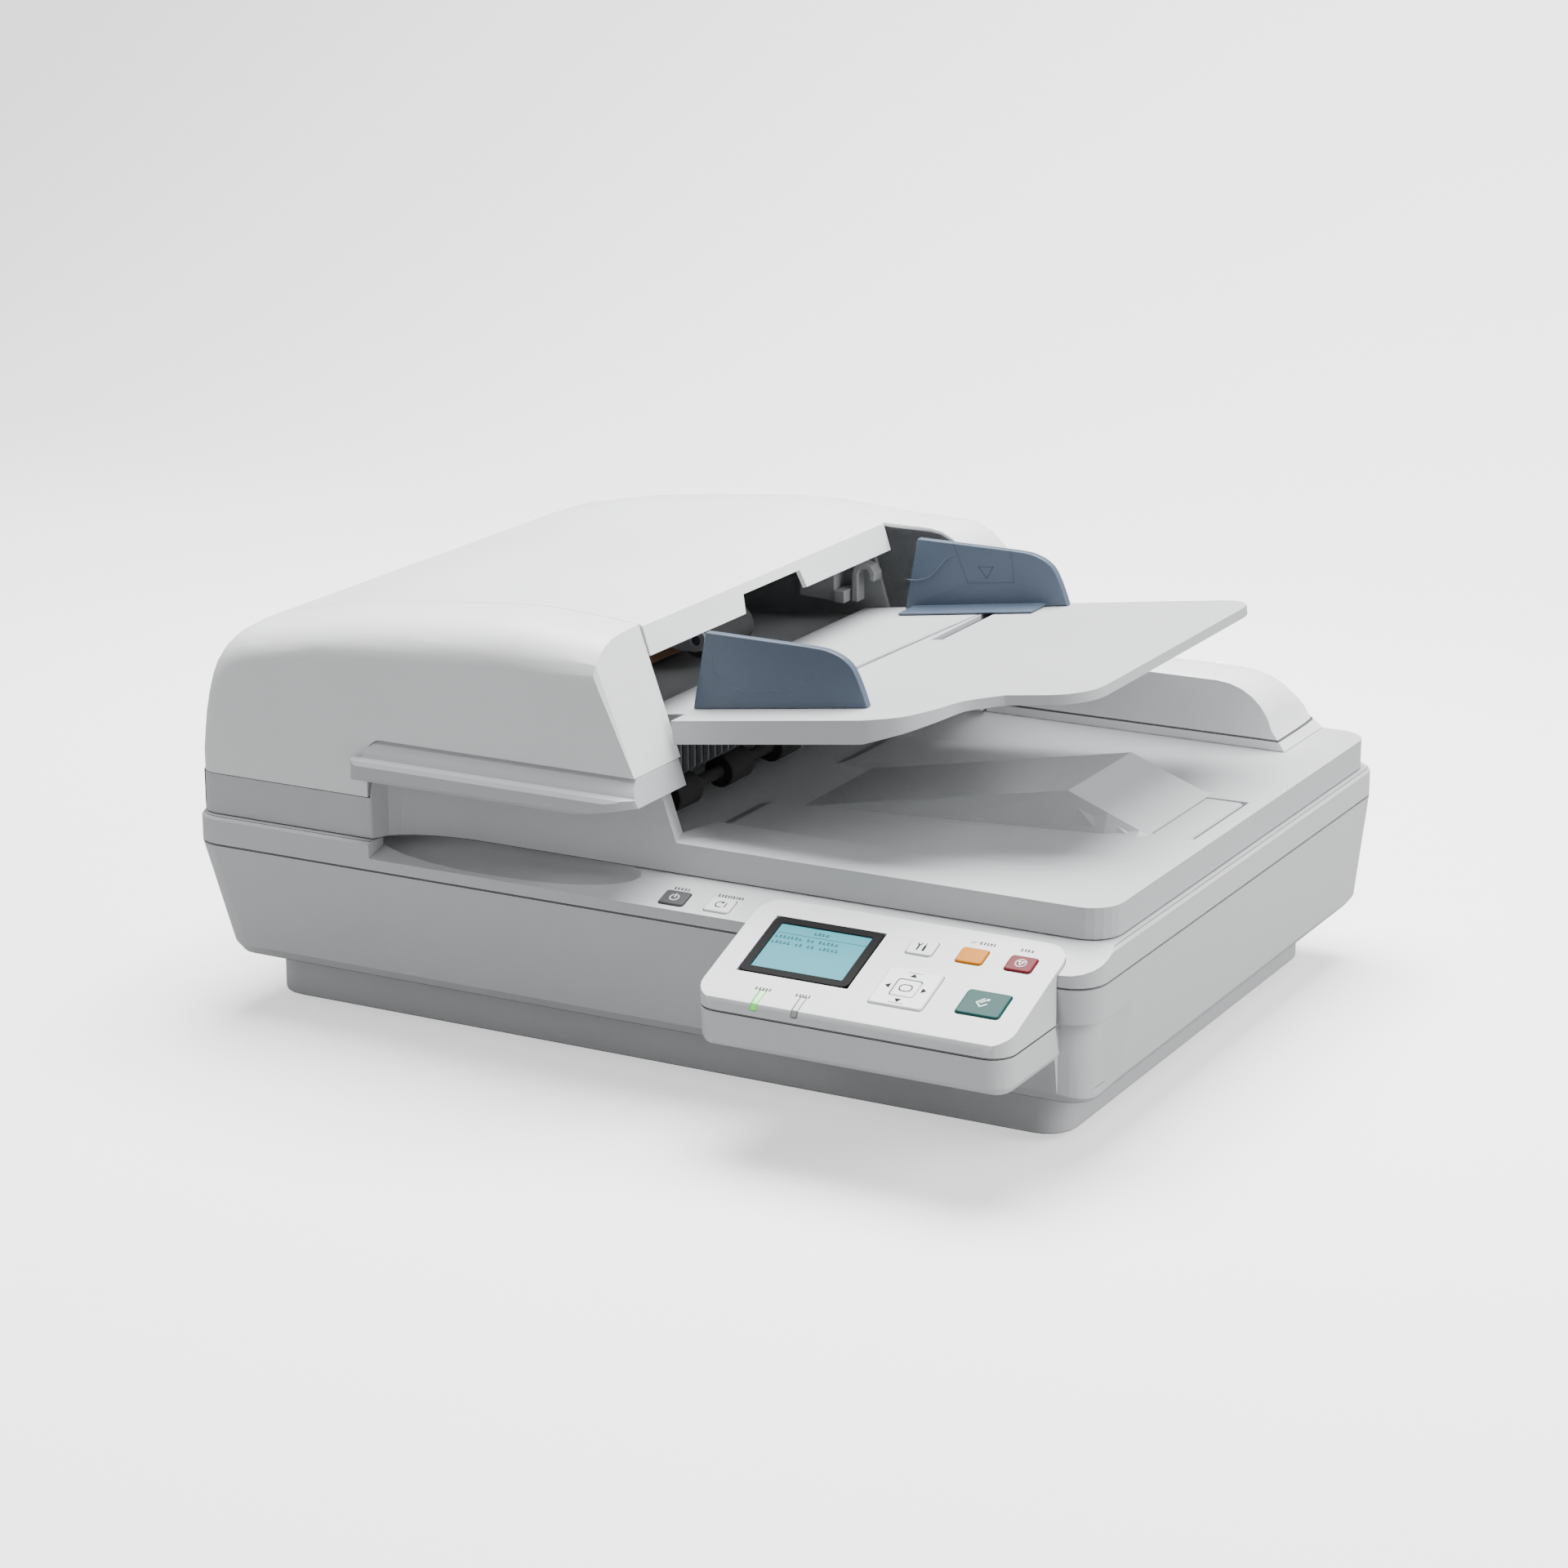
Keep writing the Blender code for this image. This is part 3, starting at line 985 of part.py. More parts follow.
def top_cover():
    path = [(X_LEFT + 0.0012, COVER_FOOT), *crown_path(CROWN_POINTS)]
    right, top = path[-1]
    path += [(right + 0.0015, top - 0.0008), (right + 0.0015 + FASCIA * 0.3, top - FASCIA)]
    profile = sheet_profile(path, WALL)
    front, back = SEAM_FRONT + GAP, SEAM_REAR - GAP
    cover = prism("top_cover", profile, "Y", front, back)
    white(cover)
    cut(cover, prism("finger_notch", finger_notch(right, top), "X", right - 0.004, right + 0.02))
    for low in (FRAME_FRONT + FRAME_PLATE + 0.0006, FRAME_BACK - FRAME_PLATE - 0.0036):
        lug = turned("cover_lug", [(low, 0.0029), (low + 0.003, 0.0029)], "Y", (PIVOT_X, PIVOT_Z), sides=16)
        fuse(cover, lug)
    cut(cover, turned("cover_bore", [(FRAME_FRONT, 0.0018), (FRAME_BACK, 0.0018)], "Y", (PIVOT_X, PIVOT_Z),
                      sides=16))
    liner_path = offset_path(crown_path(CROWN_POINTS)[8:-2], WALL + 0.0006)
    liner = prism("cover_liner", sheet_profile(liner_path, 0.0016), "Y", FRAME_FRONT + 0.012,
                  FRAME_BACK - 0.012)
    mid_grey(liner)


def finger_notch(right, top):
    """The lift notch in the cover's right lip, (y, z), with sloping sides."""
    low, high = top - FASCIA - 0.002, top - 0.0055
    middle = PAPER_Y - 0.006
    return [(middle - 0.031, low), (middle + 0.031, low), (middle + 0.028, high), (middle - 0.028, high)]


COVER_SLOPE = 0.04  # share of its height that an end cover loses gently over its whole depth
COVER_ROUND = 0.18  # and the share that it loses in the round edge above its outer face
ROUND_START = 0.5  # where that round edge starts, as a share of the depth
CORNER_START = 0.72  # and where its upright left corner starts
CORNER_TUCK = 0.010


def quarter(share, start):
    """From 0 at start to 1 at the end, as a quarter circle falls away."""
    along = min(max((share - start) / (1 - start), 0), 1)
    return 1 - (1 - along * along) ** 0.5


def end_cover(name, crown, seam, reach, foot, extra_foot, inset=0.0, rows=9):
    """A feeder end cover: the crown's outline carried outwards and rounded down to its outer face."""
    outline = offset_path(crown, inset) if inset else list(crown)
    left, right = outline[0][0], outline[-1][0]
    rings = []
    for row in range(rows):
        depth = sin(0.5 * pi * row / (rows - 1))
        shrink = 1 - COVER_SLOPE * depth**2 - COVER_ROUND * quarter(depth, ROUND_START)
        tuck = CORNER_TUCK * quarter(depth, CORNER_START)
        y = seam + reach * depth
        ring = [(left + tuck, y, foot)]
        for x, z in outline:
            share = (right - x) / (right - left)
            ring.append((x + tuck * share**6, y, foot + (z - foot) * shrink))
        for x, z in extra_foot(inset):
            ring.append((x, y, z))
        rings.append(ring)
    return loft(name, rings)


def end_covers():
    crown = crown_path(CROWN_POINTS)
    step_x = STRIP_LEFT - 0.002 - GAP
    rear_z = Z_LID + LID_EDGE + 0.0013
    rear_x = STEP_X + 0.0115

    def front_foot(inset):
        drop = 0.006 if inset else 0.0
        arc = [(x - GAP - inset, z + GAP - drop) for x, z in shoulder(step_x + GAP, Z_FOOT_OF_COVER - GAP)]
        return [(feed_face(Z_FOOT_OF_COVER) - inset, Z_FOOT_OF_COVER - drop), *arc,
                (step_x - inset, Z_BAND + GAP - drop)]

    def rear_foot(inset):
        drop = 0.006 if inset else 0.0
        return [(HUMP_LEFT - GAP - inset, rear_z - drop), (rear_x - inset, rear_z - drop),
                (rear_x - inset, Z_BAND + GAP - drop)]

    front_reach = LID_PROUD_FRONT - SEAM_FRONT + GAP
    rear_reach = LID_BACK - SEAM_REAR - GAP
    rear_crown = crown_path(CROWN_POINTS + REAR_POINTS)
    for name, outline, seam, reach, foot in (
        ("front_end_cover", crown, SEAM_FRONT - GAP, front_reach, front_foot),
        ("rear_end_cover", rear_crown, SEAM_REAR + GAP, rear_reach, rear_foot),
    ):
        way = 1 if reach > 0 else -1
        cover = end_cover(name, outline, seam, reach, Z_BAND + GAP, foot)
        white(cover)
        hollow = end_cover(f"{name}_hollow", outline, seam - way * 0.002, reach - way * (WALL - 0.002),
                           Z_BAND + GAP - 0.006, foot, inset=WALL)
        cut(cover, hollow)


def hinge_cover():
    """The hump over the lid's hinge springs, behind the output tray."""
    foot = Z_LID + LID_EDGE + GAP
    radius = 0.030
    top = foot + HUMP_RISE
    outline = [(HUMP_LEFT, foot), (HUMP_LEFT, top - 0.003), (HUMP_LEFT + 0.003, top)]
    for step in range(7):
        angle = 0.5 * pi - 0.42 * pi * step / 6
        outline.append((HUMP_RIGHT - 0.006 - radius + radius * cos(angle),
                        top - radius + radius * sin(angle)))
    outline.append((HUMP_RIGHT, foot))
    front, back = LID_BACK - REAR_LEDGE, LID_BACK

    def ring(y, inset, drop, grow):
        middle = (HUMP_LEFT + HUMP_RIGHT) / 2
        shape = []
        for x, z in outline:
            height = (z - foot) * (1 - drop)
            toward = inset if x < middle else -inset
            shape.append((x + toward, y, foot + max(height - inset, 0) if z > foot else foot - grow))
        return shape

    rows = [ring(front, 0, 0.03, 0), ring(front + 0.002, 0, 0, 0)]
    rows += [ring(front + 0.020 + (back - front - 0.020) * sin(0.5 * pi * k / 4), 0,
                  0.55 * (1 - cos(0.5 * pi * k / 4)), 0)
             for k in range(5)]
    cover = loft("hinge_cover", rows)
    white(cover)
    hollow = [ring(front + WALL, WALL, 0.0, 0.01), ring(front + 0.020, WALL, 0, 0.01),
              ring(back - 0.010, WALL, 0.40, 0.01), ring(back - WALL, WALL, 0.53, 0.01)]
    cut(cover, loft("hump_hollow", hollow))


# ---------------------------------------------------------------- feeder inside
FRAME_FRONT = SEAM_FRONT + 0.0033
FRAME_BACK = SEAM_REAR - 0.0008
FRAME_PLATE = 0.0025
FEED_SHAFT = (X_LEFT + 0.154, Z_LID + 0.0740)
PICKUP_SHAFT = (X_LEFT + 0.192, Z_LID + 0.0730)
TURN_SHAFT = (X_LEFT + 0.084, Z_LID + 0.0670)
EXIT_SHAFT = (X_LEFT + 0.212, Z_LID + 0.0140)
SHAFT_RADIUS = 0.003
BEARING_GAP = 0.0004
ARM_PLATE = 0.0022
ROLLER_HALF = 0.0195


def feeder_frame():
    left, right = PIVOT_X + 0.0045, X_LEFT + 0.232
    sheet = [(right - 0.022, Z_LID + 0.0588), (FEED_SHAFT[0] - 0.015, Z_LID + 0.0530),
             (TURN_SHAFT[0] - 0.012, Z_LID + 0.0520),
             (left + 0.020, Z_LID + 0.0440), (left + 0.009, Z_LID + 0.0300), (left + 0.006, Z_LID + 0.0130)]
    sheet = smooth_path(sheet, 3)
    frame = prism("feeder_frame", sheet[::-1] + offset_path(sheet[::-1], FRAME_PLATE)[::-1], "Y",
                  FRAME_FRONT + 0.001, FRAME_BACK - 0.001)
    finish(frame, "frame_plastic", (0.16, 0.165, 0.17), 0.55)
    side = [(left + 0.004, Z_LID + 0.0030), (left + 0.004, PIVOT_Z - 0.0065),
            (PIVOT_X + 0.0062, PIVOT_Z - 0.0005),
            (PIVOT_X + 0.0005, PIVOT_Z - 0.0026), (PIVOT_X - 0.0017, PIVOT_Z - 0.0012),
            (PIVOT_X - 0.0017, PIVOT_Z + 0.0030), (left + 0.007, Z_LID + 0.0550),
            (left + 0.022, Z_LID + 0.0780), (left + 0.060, Z_LID + 0.0880),
            (FEED_SHAFT[0], Z_LID + 0.0930), (right - 0.012, Z_LID + 0.0900), (right, Z_LID + 0.0500),
            (right, Z_LID + 0.0030)]
    for low, way in ((FRAME_FRONT, 1), (FRAME_BACK - FRAME_PLATE, -1)):
        plate = prism("frame_side", side, "Y", low, low + FRAME_PLATE)
        end = low + FRAME_PLATE + 0.0042 if way > 0 else low - 0.0042
        start = low + 0.001
        pin = turned("cover_pin", sorted([(start, 0.0015), (end, 0.0015)]), "Y", (PIVOT_X, PIVOT_Z),
                     sides=12)
        fuse(frame, plate, pin)
    for centre, radius in ((FEED_SHAFT, SHAFT_RADIUS), (TURN_SHAFT, SHAFT_RADIUS),
                           (EXIT_SHAFT, SHAFT_RADIUS)):
        bore = turned("shaft_bore", [(FRAME_FRONT - 0.01, radius + BEARING_GAP),
                                     (FRAME_BACK + 0.01, radius + BEARING_GAP)],
                      "Y", centre, sides=16)
        cut(frame, bore)


def shaft_roller(name, centre, radius, lands):
    """A steel shaft across the frame with rubber-covered lands."""
    stations = [(FRAME_FRONT - 0.0015, SHAFT_RADIUS)]
    for low, high in lands:
        stations += [(low, SHAFT_RADIUS), (low, radius - 0.0006), (low + 0.0006, radius),
                     (high - 0.0006, radius),
                     (high, radius - 0.0006), (high, SHAFT_RADIUS)]
    stations.append((FRAME_BACK + 0.0004, SHAFT_RADIUS))
    return rubber(turned(name, stations, "Y", centre, sides=20))


def feeder_rollers():
    middle = (PAPER_Y - ROLLER_HALF, PAPER_Y + ROLLER_HALF)
    shaft_roller("feed_roller", FEED_SHAFT, 0.011, [middle])
    four = [(PAPER_Y + at - 0.011, PAPER_Y + at + 0.011) for at in (-0.075, -0.025, 0.025, 0.075)]
    shaft_roller("turn_roller", TURN_SHAFT, 0.011, four)
    shaft_roller("exit_roller", EXIT_SHAFT, 0.008, four)
    low, high = middle
    pad = block("separation_pad", (FEED_SHAFT[0] - 0.008, low, Z_LID + 0.0565),
                (FEED_SHAFT[0] + 0.010, high, Z_LID + 0.0622))
    finish(pad, "cork", (0.45, 0.30, 0.20), 0.9)
    motor = turned("feed_motor", [(SEAM_FRONT - 0.026, 0.014), (SEAM_FRONT - 0.008, 0.014),
                                  (SEAM_FRONT - 0.008, 0.006), (SEAM_FRONT - 0.003, 0.006)],
                   "Y", (X_LEFT + 0.120, Z_LID + 0.066), sides=24)
    steel(motor)

    reach = ROLLER_HALF + 0.0006
    hub = SHAFT_RADIUS + BEARING_GAP
    span = PICKUP_SHAFT[0] - FEED_SHAFT[0]
    link = []
    for centre, start in ((PICKUP_SHAFT, -0.5 * pi), (FEED_SHAFT, 0.5 * pi)):
        for step in range(7):
            angle = start + pi * step / 6
            link.append((centre[0] + 0.0058 * cos(angle), centre[1] + 0.0058 * sin(angle)))
    low, high = PAPER_Y - reach - ARM_PLATE, PAPER_Y + reach + ARM_PLATE
    arm = prism("pickup_arm", link, "Y", low, low + ARM_PLATE)
    mid_grey(arm)
    fuse(arm, prism("arm_far_plate", link, "Y", high - ARM_PLATE, high))
    fuse(arm, block("arm_bridge", (FEED_SHAFT[0] + span * 0.35, low, PICKUP_SHAFT[1] + 0.0028),
                    (FEED_SHAFT[0] + span * 0.68, high, PICKUP_SHAFT[1] + 0.0053)))
    cut(arm, turned("arm_bore", [(low - 0.01, hub), (high + 0.01, hub)], "Y", FEED_SHAFT, sides=16))
    cut(arm, turned("arm_bore_front", [(low - 0.01, 0.0024), (high + 0.01, 0.0024)], "Y", PICKUP_SHAFT,
                    sides=16))
    wheel = ROLLER_HALF - 0.0005
    stations = [(low, 0.002), (PAPER_Y - wheel, 0.002), (PAPER_Y - wheel, 0.0095),
                (PAPER_Y + wheel, 0.0095),
                (PAPER_Y + wheel, 0.002), (high, 0.002)]
    rubber(turned("pickup_roller", stations, "Y", PICKUP_SHAFT, sides=20))


# ---------------------------------------------------------------- input tray
TRAY_HINGE = (X_LEFT + 0.222, Z_LID + 0.0567)
TRAY_TILT = radians(7.5)
TRAY_FACE = 0.007  # the tray's surface over its hinge, square to the tray
TRAY_THICK = 0.011
TRAY_MOUTH = 0.0205  # along the slope from the hinge to where the tray widens
TRAY_LENGTH = 0.206
TRAY_TONGUE = 0.155
TONGUE_THICK = 0.0048
GUIDE_START = 0.0195
GUIDE_LENGTH = 0.0895
GUIDE_HEIGHT = 0.0354
GUIDE_THICK = 0.0045
RACK_U = 0.0640
RACK_SIDE = 0.0052
PINION_RADIUS = 0.006
FOOT_PLATE = 0.0012


def tray_outline():
    """Plan of the tray in its own slope: a wide bed that narrows by an S curve to a tongue."""
    front = SEAM_FRONT - 0.0061
    back = SEAM_REAR - 0.0012
    inner_front, inner_back = FRAME_FRONT + FRAME_PLATE + 0.0015, FRAME_BACK - FRAME_PLATE - 0.0006
    tongue_front = front + 0.047
    bend = smooth_path([(0.118, front), (0.134, front + 0.006), (0.144, front + 0.021),
                        (0.150, front + 0.036),
                        (TRAY_TONGUE + 0.010, tongue_front)], 3)
    outline = [(-0.006, inner_front), (TRAY_MOUTH, inner_front), (TRAY_MOUTH, front), *bend]
    for centre_y, start in ((tongue_front + 0.018, -0.5 * pi), (back - 0.018, 0.0)):
        for step in range(5):
            angle = start + 0.5 * pi * step / 4
            outline.append((TRAY_LENGTH - 0.018 + 0.018 * cos(angle), centre_y + 0.018 * sin(angle)))
    outline += [(TRAY_MOUTH, back), (TRAY_MOUTH, inner_back), (-0.006, inner_back)]
    return outline


def input_tray():
    outline = tray_outline()
    top = TRAY_FACE
    tray = loft("input_tray", [at_height(outline, top - TRAY_THICK), at_height(outline, top)], tray_hinge)
    light_grey(tray)
    front, back = SEAM_FRONT, SEAM_REAR - 0.0060
    bay = (TRAY_MOUTH + 0.010, 0.108)
    cut(tray, block("rack_bay", (bay[0], front, top - TRAY_THICK - 0.01), (bay[1], back, top - WALL),
                    tray_hinge))
    under = block("tray_underside", (bay[0] + GAP, front + GAP, top - TRAY_THICK),
                  (bay[1] - GAP, back - GAP, top - TRAY_THICK + 0.002),
                  tray_hinge)
    light_grey(under)
    half = SHEET_WIDTH / 2
    for side, way in (("front", -1), ("rear", 1)):
        blade(side, way, half)
        near = PAPER_Y + way * (half + GUIDE_SPREAD + 0.0006)
        far = PAPER_Y + way * (half - GUIDE_TRAVEL - 0.0085)
        rack_u = RACK_U + way * (PINION_RADIUS + RACK_SIDE / 2 + GAP)
        neck = RACK_SIDE / 2 + SLIDE_GAP
        cut(tray, block(f"slot_{side}", (rack_u - neck, min(near, far), top - 0.01),
                        (rack_u + neck, max(near, far), top + 0.01), tray_hinge))
    deep = top - WALL - GAP
    relief = [(0.116, top - TRAY_THICK - 0.002), (0.116, top - TRAY_THICK), (0.150, top - TONGUE_THICK),
              (TRAY_LENGTH + 0.01, top - TONGUE_THICK), (TRAY_LENGTH + 0.01, top - TRAY_THICK - 0.002)]
    cut(tray, prism("tongue_relief", relief, "Y", SEAM_FRONT - 0.02, SEAM_REAR + 0.02, tray_hinge))
    finish(turned("rack_pinion", [(deep - 0.0035, PINION_RADIUS), (deep, PINION_RADIUS)], "Z",
                  (RACK_U, PAPER_Y),
                  sides=24, parent=tray_hinge), "nylon", (0.75, 0.74, 0.70), 0.5)


GUIDE_TRAVEL = 0.064  # inwards, to the narrowest sheet
GUIDE_SPREAD = 0.003  # outwards, to the widest


def blade(side, way, half):
    """One edge guide: its upright blade, foot, neck and the rack under the tray."""
    top = TRAY_FACE + GAP
    u = GUIDE_START
    shoulder_line = smooth_path([(u + 0.0112, top + GUIDE_HEIGHT), (u + 0.062, top + GUIDE_HEIGHT - 0.0072),
                                 (u + 0.075, top + GUIDE_HEIGHT - 0.0102),
                                 (u + 0.083, top + GUIDE_HEIGHT - 0.0158),
                                 (u + 0.0868, top + GUIDE_HEIGHT - 0.0245), (u + GUIDE_LENGTH, top)], 3)
    face = [(u, top), *shoulder_line]
    inner, outer = PAPER_Y + way * half, PAPER_Y + way * (half + GUIDE_THICK)
    guide = prism(f"guide_{side}", face, "Y", min(inner, outer), max(inner, outer), tray_hinge)
    finish(guide, "slate_blue", (0.16, 0.22, 0.32), 0.45)
    rack_u = RACK_U + way * (PINION_RADIUS + RACK_SIDE / 2 + GAP)
    foot_in = PAPER_Y + way * (half - 0.016)
    fuse(guide, block(f"guide_foot_{side}", (u + 0.004, min(foot_in, inner + way * 0.001), top),
                      (u + GUIDE_LENGTH - 0.012, max(foot_in, inner + way * 0.001), top + FOOT_PLATE),
                      tray_hinge))
    neck_in, neck_out = PAPER_Y + way * (half - 0.008), PAPER_Y + way * half
    deep = TRAY_FACE - WALL - GAP
    fuse(guide, block(f"guide_neck_{side}", (rack_u - RACK_SIDE / 2, min(neck_in, neck_out), deep - 0.0035),
                      (rack_u + RACK_SIDE / 2, max(neck_in, neck_out), top + 0.0005), tray_hinge))
    rack_end = PAPER_Y - way * 0.012
    fuse(guide, block(f"guide_rack_{side}", (rack_u - RACK_SIDE / 2, min(rack_end, neck_out),
                                             deep - 0.0035),
                      (rack_u + RACK_SIDE / 2, max(rack_end, neck_out), deep), tray_hinge))


# ---------------------------------------------------------------- the whole scanner
clear_scene()
panel_face = pivot("panel_face", (0, PANEL_LIP_Y, PANEL_LIP_Z), (PANEL_TILT, 0, 0))
strip_face = pivot("strip_face", (0, Y_FRONT, strip_z(Y_FRONT)), (STRIP_TILT, 0, 0))
tray_hinge = pivot("tray_hinge", (TRAY_HINGE[0], 0, TRAY_HINGE[1]), (0, -TRAY_TILT, 0))
base_pan()
lower_case()
ports()
upper_case()
glasses()
carriage()
belt_drive()
panel_shells()
keys()
lid_base()
lid_pieces()
handle_plate()
top_cover()
end_covers()
hinge_cover()
feeder_frame()
feeder_rollers()
input_tray()
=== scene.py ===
"""The looks of a flatbed document scanner whose lid carries a sheet feeder. Metres, +Z up, front at -Y."""

import json
from math import cos, pi, radians, sin

import bmesh
import bpy
from mathutils import Matrix, Vector

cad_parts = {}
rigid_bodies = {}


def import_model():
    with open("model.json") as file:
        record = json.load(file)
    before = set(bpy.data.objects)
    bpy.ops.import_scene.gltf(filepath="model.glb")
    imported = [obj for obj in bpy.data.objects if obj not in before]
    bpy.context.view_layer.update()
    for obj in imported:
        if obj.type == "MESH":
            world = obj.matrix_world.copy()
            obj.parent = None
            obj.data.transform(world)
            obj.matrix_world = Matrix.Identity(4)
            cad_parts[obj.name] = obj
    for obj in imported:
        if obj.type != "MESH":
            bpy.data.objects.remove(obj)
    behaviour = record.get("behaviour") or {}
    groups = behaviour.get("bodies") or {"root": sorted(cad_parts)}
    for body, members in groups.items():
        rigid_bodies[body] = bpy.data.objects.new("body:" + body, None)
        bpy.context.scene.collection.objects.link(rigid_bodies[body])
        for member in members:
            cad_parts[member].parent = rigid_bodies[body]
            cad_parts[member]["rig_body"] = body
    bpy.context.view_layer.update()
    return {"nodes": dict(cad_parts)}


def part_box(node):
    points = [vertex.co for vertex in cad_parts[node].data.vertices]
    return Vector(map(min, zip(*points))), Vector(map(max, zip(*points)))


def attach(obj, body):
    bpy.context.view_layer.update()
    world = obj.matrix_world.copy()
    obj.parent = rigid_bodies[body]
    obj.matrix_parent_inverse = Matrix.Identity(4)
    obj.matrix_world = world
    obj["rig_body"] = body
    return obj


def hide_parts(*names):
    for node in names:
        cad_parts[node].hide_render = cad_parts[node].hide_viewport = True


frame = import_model()

# ---- Base pan and feet --------------------------------------------------------------------------
# The pan is a shallow light grey ABS tray under the case, screwed to it from below.
# Four black rubber feet are glued into its corners. Both are moulded with a fine spark-eroded texture.


def socket(group, name, kind, way, value=None):
    """A named input or output of a node group."""
    made = group.interface.new_socket(name, in_out=way, socket_type=kind)
    if value is not None:
        made.default_value = value
    return made


def noise(nodes, scale, detail, roughness=0.5):
    node = nodes.new("ShaderNodeTexNoise")
    node.inputs["Scale"].default_value = scale
    node.inputs["Detail"].default_value = detail
    node.inputs["Roughness"].default_value = roughness
    return node


def moulded_skin_group():
    """Spark-eroded mould texture: a fine even grain for the bump, and a faint mottle for tone and gloss."""
    group = bpy.data.node_groups.new("moulded_skin", "ShaderNodeTree")
    socket(group, "Grain Scale", "NodeSocketFloat", "INPUT", 2400.0)
    socket(group, "Mottle Scale", "NodeSocketFloat", "INPUT", 14.0)
    socket(group, "Grain", "NodeSocketFloat", "OUTPUT")
    socket(group, "Mottle", "NodeSocketFloat", "OUTPUT")
    nodes, links = group.nodes, group.links
    entry = nodes.new("NodeGroupInput")
    leave = nodes.new("NodeGroupOutput")
    place = nodes.new("ShaderNodeTexCoord")
    grain = noise(nodes, 2400, 2, 0.6)
    pits = nodes.new("ShaderNodeTexVoronoi")
    mottle = noise(nodes, 14, 3)
    join = nodes.new("ShaderNodeMath")
    join.operation = "MULTIPLY_ADD"
    join.inputs[1].default_value = 0.45
    for texture, scale in ((grain, "Grain Scale"), (pits, "Grain Scale"), (mottle, "Mottle Scale")):
        links.new(place.outputs["Object"], texture.inputs["Vector"])
        links.new(entry.outputs[scale], texture.inputs["Scale"])
    links.new(pits.outputs["Distance"], join.inputs[0])
    links.new(grain.outputs["Fac"], join.inputs[2])
    links.new(join.outputs[0], leave.inputs["Grain"])
    links.new(mottle.outputs["Fac"], leave.inputs["Mottle"])
    return group


def edge_rub_group():
    """How far an edge stands out, from the bend of the surface, broken up so that the rubbing is uneven."""
    group = bpy.data.node_groups.new("edge_rub", "ShaderNodeTree")
    socket(group, "Amount", "NodeSocketFloat", "INPUT", 0.5)
    socket(group, "Edge", "NodeSocketFloat", "OUTPUT")
    nodes, links = group.nodes, group.links
    entry = nodes.new("NodeGroupInput")
    leave = nodes.new("NodeGroupOutput")
    geometry = nodes.new("ShaderNodeNewGeometry")
    place = nodes.new("ShaderNodeTexCoord")
    patches = noise(nodes, 60, 4)
    bend = nodes.new("ShaderNodeMapRange")
    bend.inputs["From Min"].default_value = 0.52
    bend.inputs["From Max"].default_value = 0.62
    uneven = nodes.new("ShaderNodeMath")
    uneven.operation = "MULTIPLY"
    amount = nodes.new("ShaderNodeMath")
    amount.operation = "MULTIPLY"
    links.new(place.outputs["Object"], patches.inputs["Vector"])
    links.new(geometry.outputs["Pointiness"], bend.inputs["Value"])
    links.new(bend.outputs["Result"], uneven.inputs[0])
    links.new(patches.outputs["Fac"], uneven.inputs[1])
    links.new(uneven.outputs[0], amount.inputs[0])
    links.new(entry.outputs["Amount"], amount.inputs[1])
    links.new(amount.outputs[0], leave.inputs["Edge"])
    return group


def seam_shade_group():
    """Painted shadow of a joint between two mouldings: a dark line on upright faces within a little of one
    height.
    """
    group = bpy.data.node_groups.new("seam_shade", "ShaderNodeTree")
    socket(group, "Height", "NodeSocketFloat", "INPUT", 0.1)
    socket(group, "Half Width", "NodeSocketFloat", "INPUT", 0.0005)
    socket(group, "Painted Shadow", "NodeSocketFloat", "OUTPUT")
    nodes, links = group.nodes, group.links
    entry = nodes.new("NodeGroupInput")
    leave = nodes.new("NodeGroupOutput")
    place = nodes.new("ShaderNodeTexCoord")
    split = nodes.new("ShaderNodeSeparateXYZ")
    facing = nodes.new("ShaderNodeSeparateXYZ")
    links.new(place.outputs["Object"], split.inputs[0])
    links.new(place.outputs["Normal"], facing.inputs[0])
    near = nodes.new("ShaderNodeMath")
    near.operation = "COMPARE"
    upright = nodes.new("ShaderNodeMath")
    upright.operation = "COMPARE"
    upright.inputs[1].default_value = 0.0
    upright.inputs[2].default_value = 0.93
    both = nodes.new("ShaderNodeMath")
    both.operation = "MULTIPLY"
    links.new(split.outputs["Z"], near.inputs[0])
    links.new(entry.outputs["Height"], near.inputs[1])
    links.new(entry.outputs["Half Width"], near.inputs[2])
    links.new(facing.outputs["Z"], upright.inputs[0])
    links.new(near.outputs[0], both.inputs[0])
    links.new(upright.outputs[0], both.inputs[1])
    links.new(both.outputs[0], leave.inputs["Painted Shadow"])
    return group


moulded_skin = moulded_skin_group()
edge_rub = edge_rub_group()
seam_shade = seam_shade_group()


def placed(nodes, group, **values):
    node = nodes.new("ShaderNodeGroup")
    node.node_tree = group
    for name, value in values.items():
        node.inputs[name.replace("_", " ")].default_value = value
    return node


def ranged(material, source, low, high, target):
    """Runs a mask from 0 to 1 into a number between low and high on the shader."""
    node = material.node_tree.nodes.new("ShaderNodeMapRange")
    node.inputs["To Min"].default_value = low
    node.inputs["To Max"].default_value = high
    material.node_tree.links.new(source, node.inputs["Value"])
    material.node_tree.links.new(node.outputs["Result"], target)


def toned(material, source, first, second):
    """A colour that runs from first to second with a mask."""
    node = material.node_tree.nodes.new("ShaderNodeMix")
    node.data_type = "RGBA"
    node.inputs["A"].default_value = (*first, 1)
    node.inputs["B"].default_value = (*second, 1)
    material.node_tree.links.new(source, node.inputs["Factor"])
    return node.outputs["Result"]


